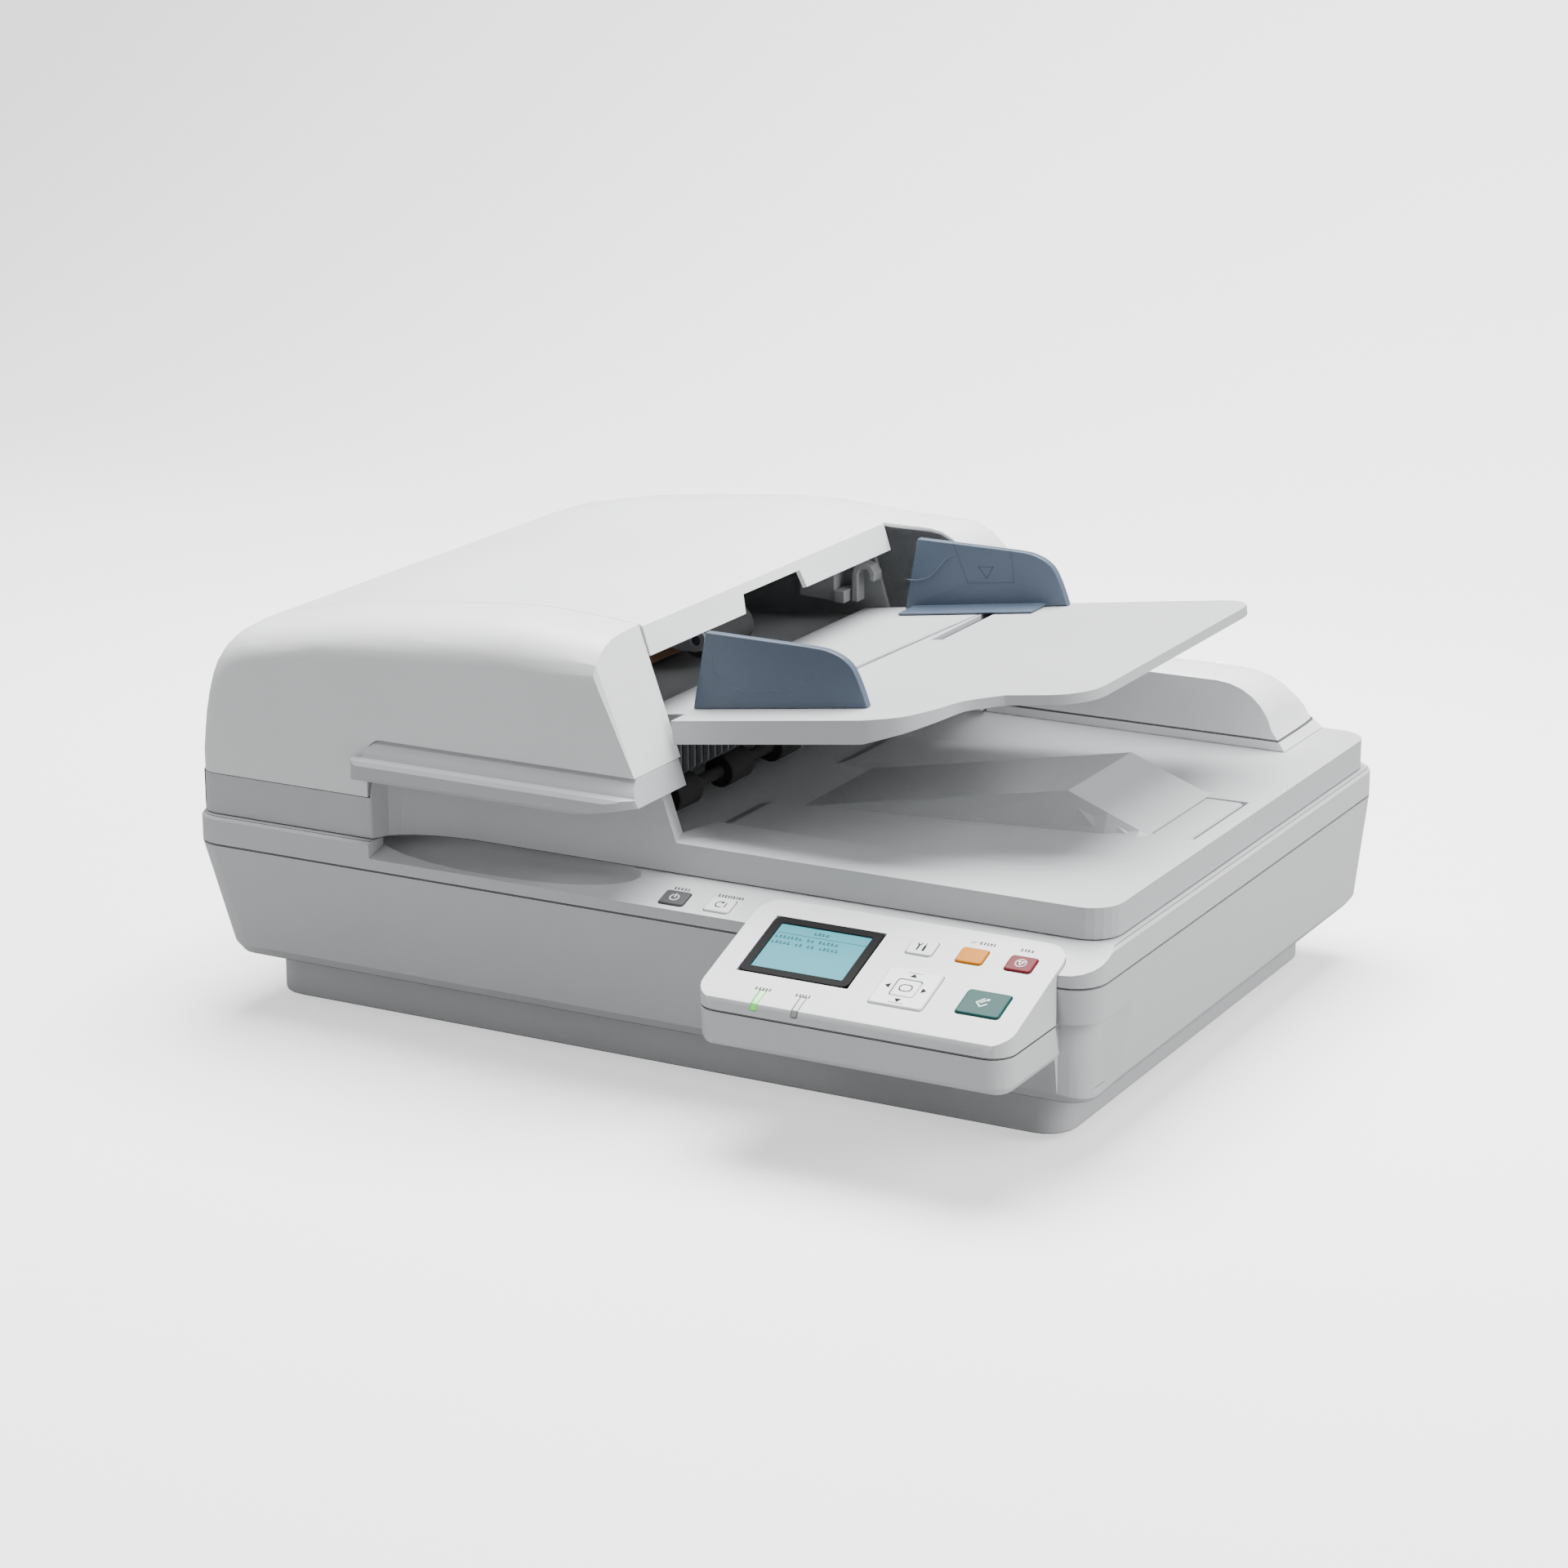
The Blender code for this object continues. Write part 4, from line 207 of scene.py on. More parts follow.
def bumped(material, height, depth, target):
    node = material.node_tree.nodes.new("ShaderNodeBump")
    node.inputs["Strength"].default_value = 0.6
    node.inputs["Distance"].default_value = depth
    material.node_tree.links.new(height, node.inputs["Height"])
    material.node_tree.links.new(node.outputs["Normal"], target)


def moulding(
    name, colour, roughness, grain=2400.0, depth=0.00004, tone=0.03, coat=0.0, rub=0.25, shaded_seams=(), shine=0.5
):
    """A moulded plastic or rubber: its own colour, a fine grain, faint mottling, slightly rubbed edges and
    painted shadow at its seams.
    """
    material = bpy.data.materials.new(name)
    material.use_nodes = True
    nodes, links = material.node_tree.nodes, material.node_tree.links
    shader = nodes["Principled BSDF"]
    skin = placed(nodes, moulded_skin, Grain_Scale=grain, Mottle_Scale=14.0)
    rubbed = placed(nodes, edge_rub, Amount=rub)
    darker = tuple(channel * (1 - tone) for channel in colour)
    lighter = tuple(min(channel * (1 + tone), 1) for channel in colour)
    edge = tuple(min(channel * 1.05 + 0.02, 1) for channel in colour)
    body = toned(material, skin.outputs["Mottle"], darker, lighter)
    worn = nodes.new("ShaderNodeMix")
    worn.data_type = "RGBA"
    worn.inputs["B"].default_value = (*edge, 1)
    links.new(rubbed.outputs["Edge"], worn.inputs["Factor"])
    links.new(body, worn.inputs["A"])
    colours = worn.outputs["Result"]
    # Painted shade: upright faces at each seam height are darkened towards a shadow colour, where the gap's
    # shadow falls.
    for height, half in shaded_seams:
        gap = placed(nodes, seam_shade, Height=height, Half_Width=half)
        shadow = nodes.new("ShaderNodeMix")
        shadow.data_type = "RGBA"
        shadow.inputs["B"].default_value = (*(channel * 0.12 for channel in colour), 1)
        links.new(gap.outputs["Painted Shadow"], shadow.inputs["Factor"])
        links.new(colours, shadow.inputs["A"])
        colours = shadow.outputs["Result"]
    links.new(colours, shader.inputs["Base Color"])
    ranged(material, skin.outputs["Mottle"], roughness - 0.04, roughness + 0.04, shader.inputs["Roughness"])
    bumped(material, skin.outputs["Grain"], depth, shader.inputs["Normal"])
    shader.inputs["Specular IOR Level"].default_value = shine
    if coat:
        shader.inputs["Coat Weight"].default_value = coat
        shader.inputs["Coat Roughness"].default_value = 0.12
    return material


def dress(node, material):
    """Gives a CAD node its finish and keeps its own shape."""
    obj = frame["nodes"][node]
    obj.data.materials.clear()
    obj.data.materials.append(material)
    return obj


def body_of(node):
    return frame["nodes"][node]["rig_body"]


def finished(obj, material, body, slot, *replaced):
    """The piece's finish, the body that it moves with and the CAD nodes that it stands for."""
    obj.data.materials.clear()
    obj.data.materials.append(material)
    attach(obj, body)
    if replaced:
        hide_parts(*replaced)
    return obj


def link(name, mesh):
    obj = bpy.data.objects.new(name, mesh)
    bpy.context.scene.collection.objects.link(obj)
    return obj


def bake(obj):
    """Applies the modifiers, so that the piece is a plain mesh."""
    bpy.context.view_layer.update()
    shape = bpy.data.meshes.new_from_object(obj.evaluated_get(bpy.context.evaluated_depsgraph_get()))
    obj.modifiers.clear()
    obj.data = shape
    return obj


def rounded_edges(obj, radius, segments=3, angle=28):
    """Rolls every sharp edge to a radius, and shades the faces smoothly across it."""
    bevel = obj.modifiers.new("edges", "BEVEL")
    bevel.width = radius
    bevel.segments = segments
    bevel.limit_method = "ANGLE"
    bevel.angle_limit = radians(angle)
    bevel.miter_outer = "MITER_ARC"
    bevel.use_clamp_overlap = True
    bake(obj)
    obj.data.shade_smooth()
    obj.modifiers.new("shading", "WEIGHTED_NORMAL").keep_sharp = False
    return bake(obj)


def softened(node, radius, segments=3, angle=28, flat=1.0):
    """The CAD node's own shape with its edges rolled over as a moulding's are."""
    work = bmesh.new()
    work.from_mesh(frame["nodes"][node].data)
    bmesh.ops.remove_doubles(work, verts=work.verts, dist=0.00002)
    bmesh.ops.dissolve_limit(work, angle_limit=radians(flat), verts=work.verts, edges=work.edges)
    mesh = bpy.data.meshes.new(f"soft_{node}")
    work.to_mesh(mesh)
    work.free()
    return rounded_edges(link(f"soft_{node}", mesh), radius, segments, angle)


def shell(node, radius, material, slot, **how):
    return finished(softened(node, radius, **how), material, body_of(node), slot, node)


# Heights of the joints, where the case's material paints a dark line of shade as if in the gap.
case_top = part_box("lower_case")[1][2] + 0.00015
deck_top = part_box("lid_base")[0][2] - 0.00015
pan_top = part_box("base_pan")[1][2] + 0.00015
case_grey = moulding("case_grey", (0.55, 0.56, 0.57), 0.44,
                     shaded_seams=((case_top, 0.0005), (deck_top, 0.0004), (pan_top, 0.0004)))
rubber_black = moulding("rubber_black", (0.025, 0.025, 0.026), 0.78, grain=900, depth=0.00008, tone=0.2)
shell("base_pan", 0.0018, case_grey, "light_grey_shell", segments=4)
for foot in ("foot_front_left", "foot_front_right", "foot_rear_left", "foot_rear_right"):
    shell(foot, 0.0005, rubber_black, "rubber")

# ---- Lower case ---------------------------------------------------------------------------------
# A deep light grey ABS tub, screwed to the pan, that leans out a little as it rises.
# Its rounded foot hides the screws, and its back holds the power inlet and the data socket.

shell("lower_case", 0.0022, case_grey, "light_grey_shell", segments=5)
socket_black = moulding("socket_black", (0.03, 0.03, 0.032), 0.5, grain=1500, tone=0.1)
shell("power_inlet", 0.0003, socket_black, "dark_grey_plastic")


def metal(name, colour, roughness):
    """Rolled or turned metal: fine lines one way, and faint cloudy stains."""
    material = bpy.data.materials.new(name)
    material.use_nodes = True
    nodes, links = material.node_tree.nodes, material.node_tree.links
    shader = nodes["Principled BSDF"]
    shader.inputs["Metallic"].default_value = 1.0
    place = nodes.new("ShaderNodeTexCoord")
    mapping = nodes.new("ShaderNodeMapping")
    mapping.inputs["Scale"].default_value = (1.0, 0.06, 1.0)
    lines = noise(nodes, 900, 3, 0.7)
    stains = noise(nodes, 40, 4)
    links.new(place.outputs["Object"], mapping.inputs["Vector"])
    links.new(mapping.outputs["Vector"], lines.inputs["Vector"])
    links.new(place.outputs["Object"], stains.inputs["Vector"])
    darker = tuple(channel * 0.85 for channel in colour)
    links.new(toned(material, stains.outputs["Fac"], darker, colour), shader.inputs["Base Color"])
    ranged(material, lines.outputs["Fac"], roughness - 0.08, roughness + 0.12, shader.inputs["Roughness"])
    bumped(material, lines.outputs["Fac"], 0.00002, shader.inputs["Normal"])
    return material


plated_steel = metal("plated_steel", (0.66, 0.66, 0.65), 0.3)
shell("data_port", 0.0002, plated_steel, "steel")

# ---- Upper case and glasses ---------------------------------------------------------------------
# The deck frames the two panes of float glass, which are taped to it from below.
# Its sloping front strip carries two keys and a long finger scoop for lifting the lid.

shell("upper_case", 0.0011, case_grey, "light_grey_shell", segments=3, angle=35)


def pane_glass(name, tint, roughness):
    """Float glass with a faint smear of handling on it."""
    material = bpy.data.materials.new(name)
    material.use_nodes = True
    nodes, links = material.node_tree.nodes, material.node_tree.links
    shader = nodes["Principled BSDF"]
    shader.inputs["Base Color"].default_value = (*tint, 1)
    shader.inputs["Transmission Weight"].default_value = 0.95
    shader.inputs["IOR"].default_value = 1.5
    place = nodes.new("ShaderNodeTexCoord")
    smear = noise(nodes, 30, 5, 0.65)
    links.new(place.outputs["Object"], smear.inputs["Vector"])
    ranged(material, smear.outputs["Fac"], roughness, roughness + 0.08, shader.inputs["Roughness"])
    return material


float_glass = pane_glass("float_glass", (0.84, 0.92, 0.90), 0.01)
shell("platen_glass", 0.0004, float_glass, "glass")
shell("feed_glass", 0.0004, float_glass, "glass")

# ---- Scanning carriage and its drive ------------------------------------------------------------
# A dark moulded bridge runs on a steel rod and a steel rail, pulled by a toothed belt over nylon pulleys.
# The lens bar is pressed into its top. The motor and the main board are screwed to the case's floor.

carriage_black = moulding("carriage_black", (0.035, 0.036, 0.038), 0.6, grain=1200, tone=0.15)
motor_grey = moulding("motor_grey", (0.22, 0.225, 0.23), 0.5, grain=1200, tone=0.1)
nylon = moulding("nylon", (0.72, 0.71, 0.66), 0.42, grain=1600, tone=0.04)


def circuit_board(name):
    """Green solder mask over a faint grid of copper tracks."""
    material = bpy.data.materials.new(name)
    material.use_nodes = True
    nodes, links = material.node_tree.nodes, material.node_tree.links
    shader = nodes["Principled BSDF"]
    place = nodes.new("ShaderNodeTexCoord")
    tracks = nodes.new("ShaderNodeTexBrick")
    tracks.inputs["Scale"].default_value = 180
    tracks.inputs["Mortar Size"].default_value = 0.12
    tracks.inputs["Color1"].default_value = (0.010, 0.16, 0.06, 1)
    tracks.inputs["Color2"].default_value = (0.014, 0.20, 0.08, 1)
    tracks.inputs["Mortar"].default_value = (0.05, 0.32, 0.14, 1)
    links.new(place.outputs["Object"], tracks.inputs["Vector"])
    links.new(tracks.outputs["Color"], shader.inputs["Base Color"])
    ranged(material, tracks.outputs["Fac"], 0.35, 0.5, shader.inputs["Roughness"])
    bumped(material, tracks.outputs["Fac"], 0.00005, shader.inputs["Normal"])
    return material


board_green = circuit_board("board_green")
shell("carriage", 0.0008, carriage_black, "dark_grey_plastic")
shell("lens_bar", 0.0003, float_glass, "glass")
for node in ("guide_rod", "support_rail"):
    shell(node, 0.0003, plated_steel, "steel")
for node in ("drive_pulley", "idler_pulley"):
    shell(node, 0.0002, nylon, "nylon")
dress("timing_belt", rubber_black)
shell("carriage_motor", 0.0010, motor_grey, "mid_grey_plastic")
dress("main_board", board_green)

# ---- Control panel ------------------------------------------------------------------------------
# A shallow tub and a sloping top snap together and are screwed to the case's front.
# The display sits under a black-bordered window, and two light bars wrap over the front lip.

# Height of the panel's joint, where both panel mouldings paint a dark line of shade.
panel_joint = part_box("panel_body")[1][2] + 0.00015
tub_grey = moulding("tub_grey", (0.60, 0.61, 0.62), 0.42, shaded_seams=((panel_joint, 0.0005),))
shell("panel_body", 0.0016, tub_grey, "light_grey_shell", segments=4)
panel_grey = moulding("panel_grey", (0.66, 0.67, 0.68), 0.40, shaded_seams=((panel_joint, 0.0005),))
shell("panel_cover", 0.0005, panel_grey, "light_grey_shell", segments=3, angle=35)
dress("panel_board", board_green)


def top_face(node):
    """The turn and middle of a node's main upper face: x across it, y up its slope, z out of it."""
    mesh = frame["nodes"][node].data
    areas = {}
    for face in mesh.polygons:
        if face.normal.z > 0.5:
            depth = round(face.normal.dot(mesh.vertices[face.vertices[0]].co), 4)
            key = (*(round(number, 2) for number in face.normal), depth)
            areas.setdefault(key, []).append(face)
    faces = max(areas.values(), key=lambda group: sum(face.area for face in group))
    out = faces[0].normal.normalized()
    along = out.cross(Vector((1, 0, 0))).normalized()
    across = along.cross(out)
    turn = Matrix((across, along, out)).transposed()
    points = [turn.transposed() @ mesh.vertices[i].co for face in faces for i in face.vertices]
    low = [min(point[k] for point in points) for k in range(3)]
    high = [max(point[k] for point in points) for k in range(3)]
    middle = turn @ Vector([(low[k] + high[k]) / 2 for k in range(3)])
    return Matrix.Translation(middle) @ turn.to_4x4(), (high[0] - low[0], high[1] - low[1])


def bar(x0, y0, x1, y1):
    return [(x0, y0), (x1, y0), (x1, y1), (x0, y1)]


def stroke(points, width, closed=False):
    """A line of even width through the points, as four-sided pieces that overlap at the corners."""
    points = [Vector(point) for point in points]
    if closed:
        points.append(points[0])
    pieces = []
    for first, second in zip(points, points[1:]):
        way = (second - first).normalized()
        side = Vector((-way.y, way.x)) * (width / 2)
        first, second = first - way * (width / 2), second + way * (width / 2)
        corners = (first - side, second - side, second + side, first + side)
        pieces.append([tuple(corner) for corner in corners])
    return pieces


def arc(x, y, radius, start, end, steps=14):
    turns = [radians(start + (end - start) * step / steps) for step in range(steps + 1)]
    return [(x + radius * cos(turn), y + radius * sin(turn)) for turn in turns]


def printed(name, place, shapes, material, body, slot, base=0.0, rise=0.00004):
    """Flat shapes, in millimetres on a face, printed on it as a thin film of ink."""
    points, faces = [], []
    for outline in shapes:
        area = sum(a[0] * b[1] - b[0] * a[1] for a, b in zip(outline, outline[1:] + outline[:1]))
        outline = outline if area > 0 else outline[::-1]
        count, start = len(outline), len(points)
        for height in (base - 0.00002, base + rise):
            points += [place @ Vector((x / 1000, y / 1000, height)) for x, y in outline]
        faces.append(tuple(start + k for k in reversed(range(count))))
        faces.append(tuple(start + count + k for k in range(count)))
        for k in range(count):
            after = (k + 1) % count
            faces.append((start + k, start + after, start + count + after, start + count + k))
    mesh = bpy.data.meshes.new(name)
    mesh.from_pydata(points, [], faces)
    return finished(link(name, mesh), material, body, slot)


def rounded_plan(half_x, half_y, corner, steps=5):
    points = []
    corners = ((half_x, half_y, 0), (-half_x, half_y, 90), (-half_x, -half_y, 180), (half_x, -half_y, 270))
    for x, y, start in corners:
        middle_x = x - corner if x > 0 else x + corner
        middle_y = y - corner if y > 0 else y + corner
        points += arc(middle_x, middle_y, corner, start, start + 90, steps)
    return points


BROKEN_EDGE = 0.25  # mm


def plate(name, place, outline, low, high, inner=None):
    """A flat plate on a face, in millimetres, with its top edge broken and, if inner is given, a window."""
    work = bmesh.new()
    rings = []
    for depth, shrink in ((low, 0), (high - BROKEN_EDGE, 0), (high, BROKEN_EDGE)):
        ring = []
        for x, y in outline:
            share = (1 - shrink / max((x * x + y * y) ** 0.5, 0.001)) / 1000
            ring.append(work.verts.new(place @ Vector((x * share, y * share, depth / 1000))))
        rings.append(ring)
    if inner:
        for depth in (high, low):
            ring = [work.verts.new(place @ Vector((x / 1000, y / 1000, depth / 1000))) for x, y in inner]
            rings.append(ring)
    loops = list(zip(rings, rings[1:]))
    if inner:
        loops.append((rings[-1], rings[0]))
    else:
        work.faces.new(rings[-1])
        work.faces.new(list(reversed(rings[0])))
    for lower, upper in loops:
        for k in range(len(lower)):
            after = (k + 1) % len(lower)
            work.faces.new((lower[k], lower[after], upper[after], upper[k]))
    bmesh.ops.recalc_face_normals(work, faces=work.faces)
    mesh = bpy.data.meshes.new(name)
    work.to_mesh(mesh)
    work.free()
    return link(name, mesh)


window_black = moulding(
    "window_black", (0.004, 0.004, 0.0045), 0.5, grain=400, depth=0.000005, tone=0.2, rub=0.02, shine=0.06
)


def lit_screen(name):
    """Backlit liquid crystal: a pale cyan glow with the fine grid of its dots."""
    material = bpy.data.materials.new(name)
    material.use_nodes = True
    nodes, links = material.node_tree.nodes, material.node_tree.links
    shader = nodes["Principled BSDF"]
    place = nodes.new("ShaderNodeTexCoord")
    dots = nodes.new("ShaderNodeTexBrick")
    dots.offset = 0.0
    dots.inputs["Scale"].default_value = 1500
    dots.inputs["Mortar Size"].default_value = 0.06
    dots.inputs["Brick Width"].default_value = 0.5
    dots.inputs["Row Height"].default_value = 0.5
    dots.inputs["Color1"].default_value = (0.050, 0.245, 0.290, 1)
    dots.inputs["Color2"].default_value = (0.055, 0.260, 0.305, 1)
    dots.inputs["Mortar"].default_value = (0.035, 0.200, 0.245, 1)
    links.new(place.outputs["Object"], dots.inputs["Vector"])
    links.new(dots.outputs["Color"], shader.inputs["Base Color"])
    links.new(dots.outputs["Color"], shader.inputs["Emission Color"])
    shader.inputs["Emission Strength"].default_value = 0.5
    ranged(material, dots.outputs["Fac"], 0.30, 0.38, shader.inputs["Roughness"])
    shader.inputs["Specular IOR Level"].default_value = 0.06
    return material


screen_cyan = lit_screen("screen_cyan")
ink_film = {"grain": 3000, "depth": 0.000005, "rub": 0, "shine": 0.03}
dot_ink = moulding("dot_ink", (0.012, 0.05, 0.07), 0.4, tone=0.1, **ink_film)
BORDER = (4.3, 4.0)  # mm
GLASS_CORNER = 3.2
window_place, window_size = top_face("display_window")
half_x, half_y = window_size[0] * 500, window_size[1] * 500
lit = (half_x - BORDER[0], half_y - BORDER[1])
border_plan = rounded_plan(half_x, half_y, GLASS_CORNER)
border = plate("display_border", window_place, border_plan, -1.3, 0.15, rounded_plan(*lit, 0.6))
border.data.shade_flat()
finished(border, window_black, "base", "black_window", "display_window")
screen = plate("display_screen", window_place, rounded_plan(lit[0] + 0.4, lit[1] + 0.4, 0.5), -0.9, -0.45)
screen.data.shade_flat()
finished(screen, screen_cyan, "base", "display_glow")
dress("display_module", window_black)
left, top = -lit[0], lit[1]
lines = [bar(left + 0.5, top - 6.2, -left - 0.5, top - 5.95)]
LETTER_STEP = 1.95
title = (1.4, 1.5, 1.4, 1.4)
first_row = (1.3,) * 7 + (0, 1.3, 1.3, 0) + (1.3,) * 5
second_row = (1.3,) * 5 + (0, 1.3, 1.3, 0, 1.3, 1.3, 0) + (1.3,) * 5
for y, x, letters in (
    (top - 4.4, -4.6, title),
    (top - 9.6, left + 1.2, first_row),
    (top - 13.6, left + 1.2, second_row),
):
    for step, wide in enumerate(letters):
        if wide:
            at = x + step * LETTER_STEP
            lines.append(bar(at, y, at + wide, y + 0.42))
            lines.append(bar(at, y + 1.0, at + wide * (0.55 + 0.45 * (step % 2)), y + 1.42))
            lines.append(bar(at, y, at + 0.36, y + (2.1 if step % 3 else 1.42)))
printed("display_lines", window_place, lines, dot_ink, "base", "display_glow", base=-0.00045, rise=0.00003)

sign_ink = moulding("sign_ink", (0.018, 0.019, 0.02), 0.5, tone=0.1, **ink_film)
sign_pale = moulding("sign_pale", (0.80, 0.81, 0.82), 0.5, tone=0.02, **ink_film)


def light_bar(name, colour, glow):
    """A clear moulded light guide with its lamp behind it, its glow a little brighter in random clouds."""
    material = moulding(name, colour, 0.2, grain=600, depth=0.00001, tone=0.05, coat=0.6)
    shader = material.node_tree.nodes["Principled BSDF"]
    colours = material.node_tree.nodes.new("ShaderNodeMix")
    colours.data_type = "RGBA"
    colours.inputs["A"].default_value = (*colour, 1)
    colours.inputs["B"].default_value = (*(min(channel * 1.3, 1) for channel in colour), 1)
    cloud = noise(material.node_tree.nodes, 300, 2)
    material.node_tree.links.new(cloud.outputs["Fac"], colours.inputs["Factor"])
    material.node_tree.links.new(colours.outputs["Result"], shader.inputs["Emission Color"])
    shader.inputs["Emission Strength"].default_value = glow
    return material


shell("ready_light", 0.0003, light_bar("ready_green", (0.08, 0.50, 0.05), 0.9), "ready_green")
shell("error_light", 0.0003, light_bar("error_grey", (0.22, 0.225, 0.23), 0.0), "error_grey")


def caption_bars(x, y, widths, height=1.9, gap=0.6):
    """Plain strokes in place of a printed word."""
    shapes = []
    for wide in widths:
        shapes.append(bar(x, y, x + wide, y + height * 0.24))
        shapes.append(bar(x, y, x + height * 0.26, y + height))
        shapes.append(bar(x, y + height * 0.52, x + wide, y + height * 0.74))
        x += wide + gap
    return shapes


# ---- Keys ---------------------------------------------------------------------------------------
# Each key is a crowned cap that clips in from behind, held by its flange, with a printed sign.
# The arrow pad rocks on a bar behind the panel.

key_light = moulding("key_light", (0.68, 0.69, 0.70), 0.34, grain=1800, depth=0.00002, coat=0.15)
key_orange = moulding("key_orange", (0.52, 0.175, 0.004), 0.32, grain=1800, depth=0.00002, shine=0.08)
key_red = moulding("key_red", (0.15, 0.016, 0.024), 0.32, grain=1800, depth=0.00002, shine=0.08)
key_teal = moulding("key_teal", (0.012, 0.068, 0.062), 0.32, grain=1800, depth=0.00002, shine=0.08)
key_dark = moulding("key_dark", (0.08, 0.083, 0.087), 0.36, grain=1800, depth=0.00002, shine=0.08)
for node, material, slot in (
    ("menu_button", key_light, "key_grey"),
    ("reset_button", key_orange, "key_orange"),
    ("stop_button", key_red, "key_red"),
    ("start_button", key_teal, "key_teal"),
    ("ok_button", key_light, "key_grey"),
    ("arrow_pad", key_light, "key_grey"),
    ("power_button", key_dark, "key_dark"),
    ("wake_button", key_light, "key_grey"),
):
    shell(node, 0.0005, material, slot, segments=4)


def sign(node, shapes, ink, slot):
    printed(f"sign_{node}", top_face(node)[0], shapes, ink, body_of(node), slot)


power_mark = stroke(arc(0, -0.2, 2.1, 125, 415), 0.6) + stroke([(0, 0.1), (0, 2.3)], 0.6)
sign("power_button", power_mark, sign_pale, "key_dark")
wake_ring = stroke(arc(0, 0, 2.0, 60, 300), 0.55)
wake_head = [(0.6, 2.6), (2.0, 1.6), (0.5, 0.8)]
sign("wake_button", [*wake_ring, wake_head, *stroke([(2.9, -1.4), (2.9, 1.4)], 0.55)], sign_ink, "key_grey")
spanner = stroke([(-1.5, -2.3), (-1.5, 0.7)], 0.8)
spanner += stroke([(-2.3, 2.2), (-2.3, 1.1), (-0.7, 1.1), (-0.7, 2.2)], 0.5)
driver = stroke([(1.4, -2.3), (1.4, 0.2)], 1.1) + stroke([(1.4, 0.4), (1.4, 2.3)], 0.45)
sign("menu_button", spanner + driver, sign_ink, "key_grey")
stop_ring = stroke(arc(0, 0, 2.4, 0, 342, 18), 0.5, closed=True)
stop_wedge = stroke([(-1.25, 1.0), (1.25, 1.0), (0, -1.2)], 0.5, closed=True)
sign("stop_button", stop_ring + stop_wedge, sign_pale, "key_red")
start_mark = stroke([(-0.6, 2.6), (-3.2, 0), (-0.6, -2.6), (1.6, -0.6)], 0.65)
start_mark += stroke([(-1.4, 0), (1.0, 2.2)], 0.65)
start_head = [(0.4, 2.9), (2.1, 3.0), (1.7, 1.4)]
sign("start_button", [*start_mark, start_head], sign_pale, "key_teal")
sign("ok_button", stroke(rounded_plan(2.8, 2.1, 1.8, 4), 0.6, closed=True), sign_ink, "key_grey")
pad_place, pad_size = top_face("arrow_pad")
reach, wide, tall = pad_size[0] * 500 - 3.6, 1.7, 2.4
arrow = [(reach - tall / 2, -wide), (reach + tall / 2, 0), (reach - tall / 2, wide)]
quarter_turns = ((1, 0), (0, 1), (-1, 0), (0, -1))
arrows = [[(x * along - y * over, x * over + y * along) for x, y in arrow] for along, over in quarter_turns]
ticks = []
for height in (reach + 1.7, -reach - 1.7):
    ticks += stroke([(-3.4, height), (3.4, height)], 0.3)
printed("sign_arrow_pad", pad_place, arrows + ticks, sign_ink, body_of("arrow_pad"), "key_grey")

captions = []
for node, shift, widths in (
    ("reset_button", (-0.5, 8.2), (1.3, 0.9, 1.0, 0.9, 0.7)),
    ("stop_button", (-4.2, 8.2), (1.3, 0.8, 1.1, 1.1)),
    ("ready_light", (-4.2, 5.4), (1.3, 1.0, 1.0, 1.0, 0.9)),
    ("error_light", (-4.2, 5.4), (1.2, 0.7, 0.7, 1.1, 0.7)),
):
    low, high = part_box(node)
    spot = window_place.inverted() @ Vector([(low[k] + high[k]) / 2 for k in range(3)])
    captions += caption_bars(spot.x * 1000 + shift[0], spot.y * 1000 + shift[1], widths)
    if node == "reset_button":
        for along in (0, 1.32):
            x, y = spot.x * 1000 - 5.0 + along, spot.y * 1000 + 8.1
            captions.append([(x, y), (x + 0.5, y), (x + 1.9, y + 1.7), (x + 1.4, y + 1.7)])
printed("panel_captions", window_place, captions, sign_ink, "base", "light_grey_shell", base=-0.0002)
wake_place = top_face("wake_button")[0]
strip_words = caption_bars(-4.6, 6.6, (1.2, 0.9, 0.9, 0.8, 0.6, 1.1, 0.6, 0.9, 0.9))
power_place = top_face("power_button")[0]
shift = (power_place.translation - wake_place.translation).length * 1000
strip_words += caption_bars(-shift - 4.0, 6.6, (1.1, 1.1, 1.3, 0.9, 0.9))
printed("strip_captions", wake_place, strip_words, sign_ink, "base", "light_grey_shell", base=-0.0009)

# ---- Lid ----------------------------------------------------------------------------------------
# One large light grey moulding: the output tray with its raised fin, the feeder's bed and the border.
# It turns on two sprung steel hinges at the back, and a white foam mat is taped under it.

# The lid's material paints a dark line of shade along its joint with the deck.
lid_grey = moulding("lid_grey", (0.48, 0.49, 0.50), 0.45, shaded_seams=((deck_top, 0.0005),))
shell("lid_base", 0.0011, lid_grey, "light_grey_shell", segments=4, angle=8)
mat_white = moulding("mat_white", (0.80, 0.80, 0.79), 0.85, grain=700, depth=0.0001, tone=0.03)
shell("document_mat", 0.0004, mat_white, "mat_foam")
for node in ("hinge_arm_left", "hinge_arm_right"):
    shell(node, 0.0004, plated_steel, "steel")
shell("paper_stopper", 0.0003, lid_grey, "light_grey_shell")
shell("handle_plate", 0.0022, lid_grey, "light_grey_shell", segments=5, angle=20)

# ---- Feeder inside ------------------------------------------------------------------------------
# A charcoal frame holds the rollers, which are rubber sleeves on steel shafts, and the separation pad.
# The pick-up arm hangs on the feed roller's shaft.

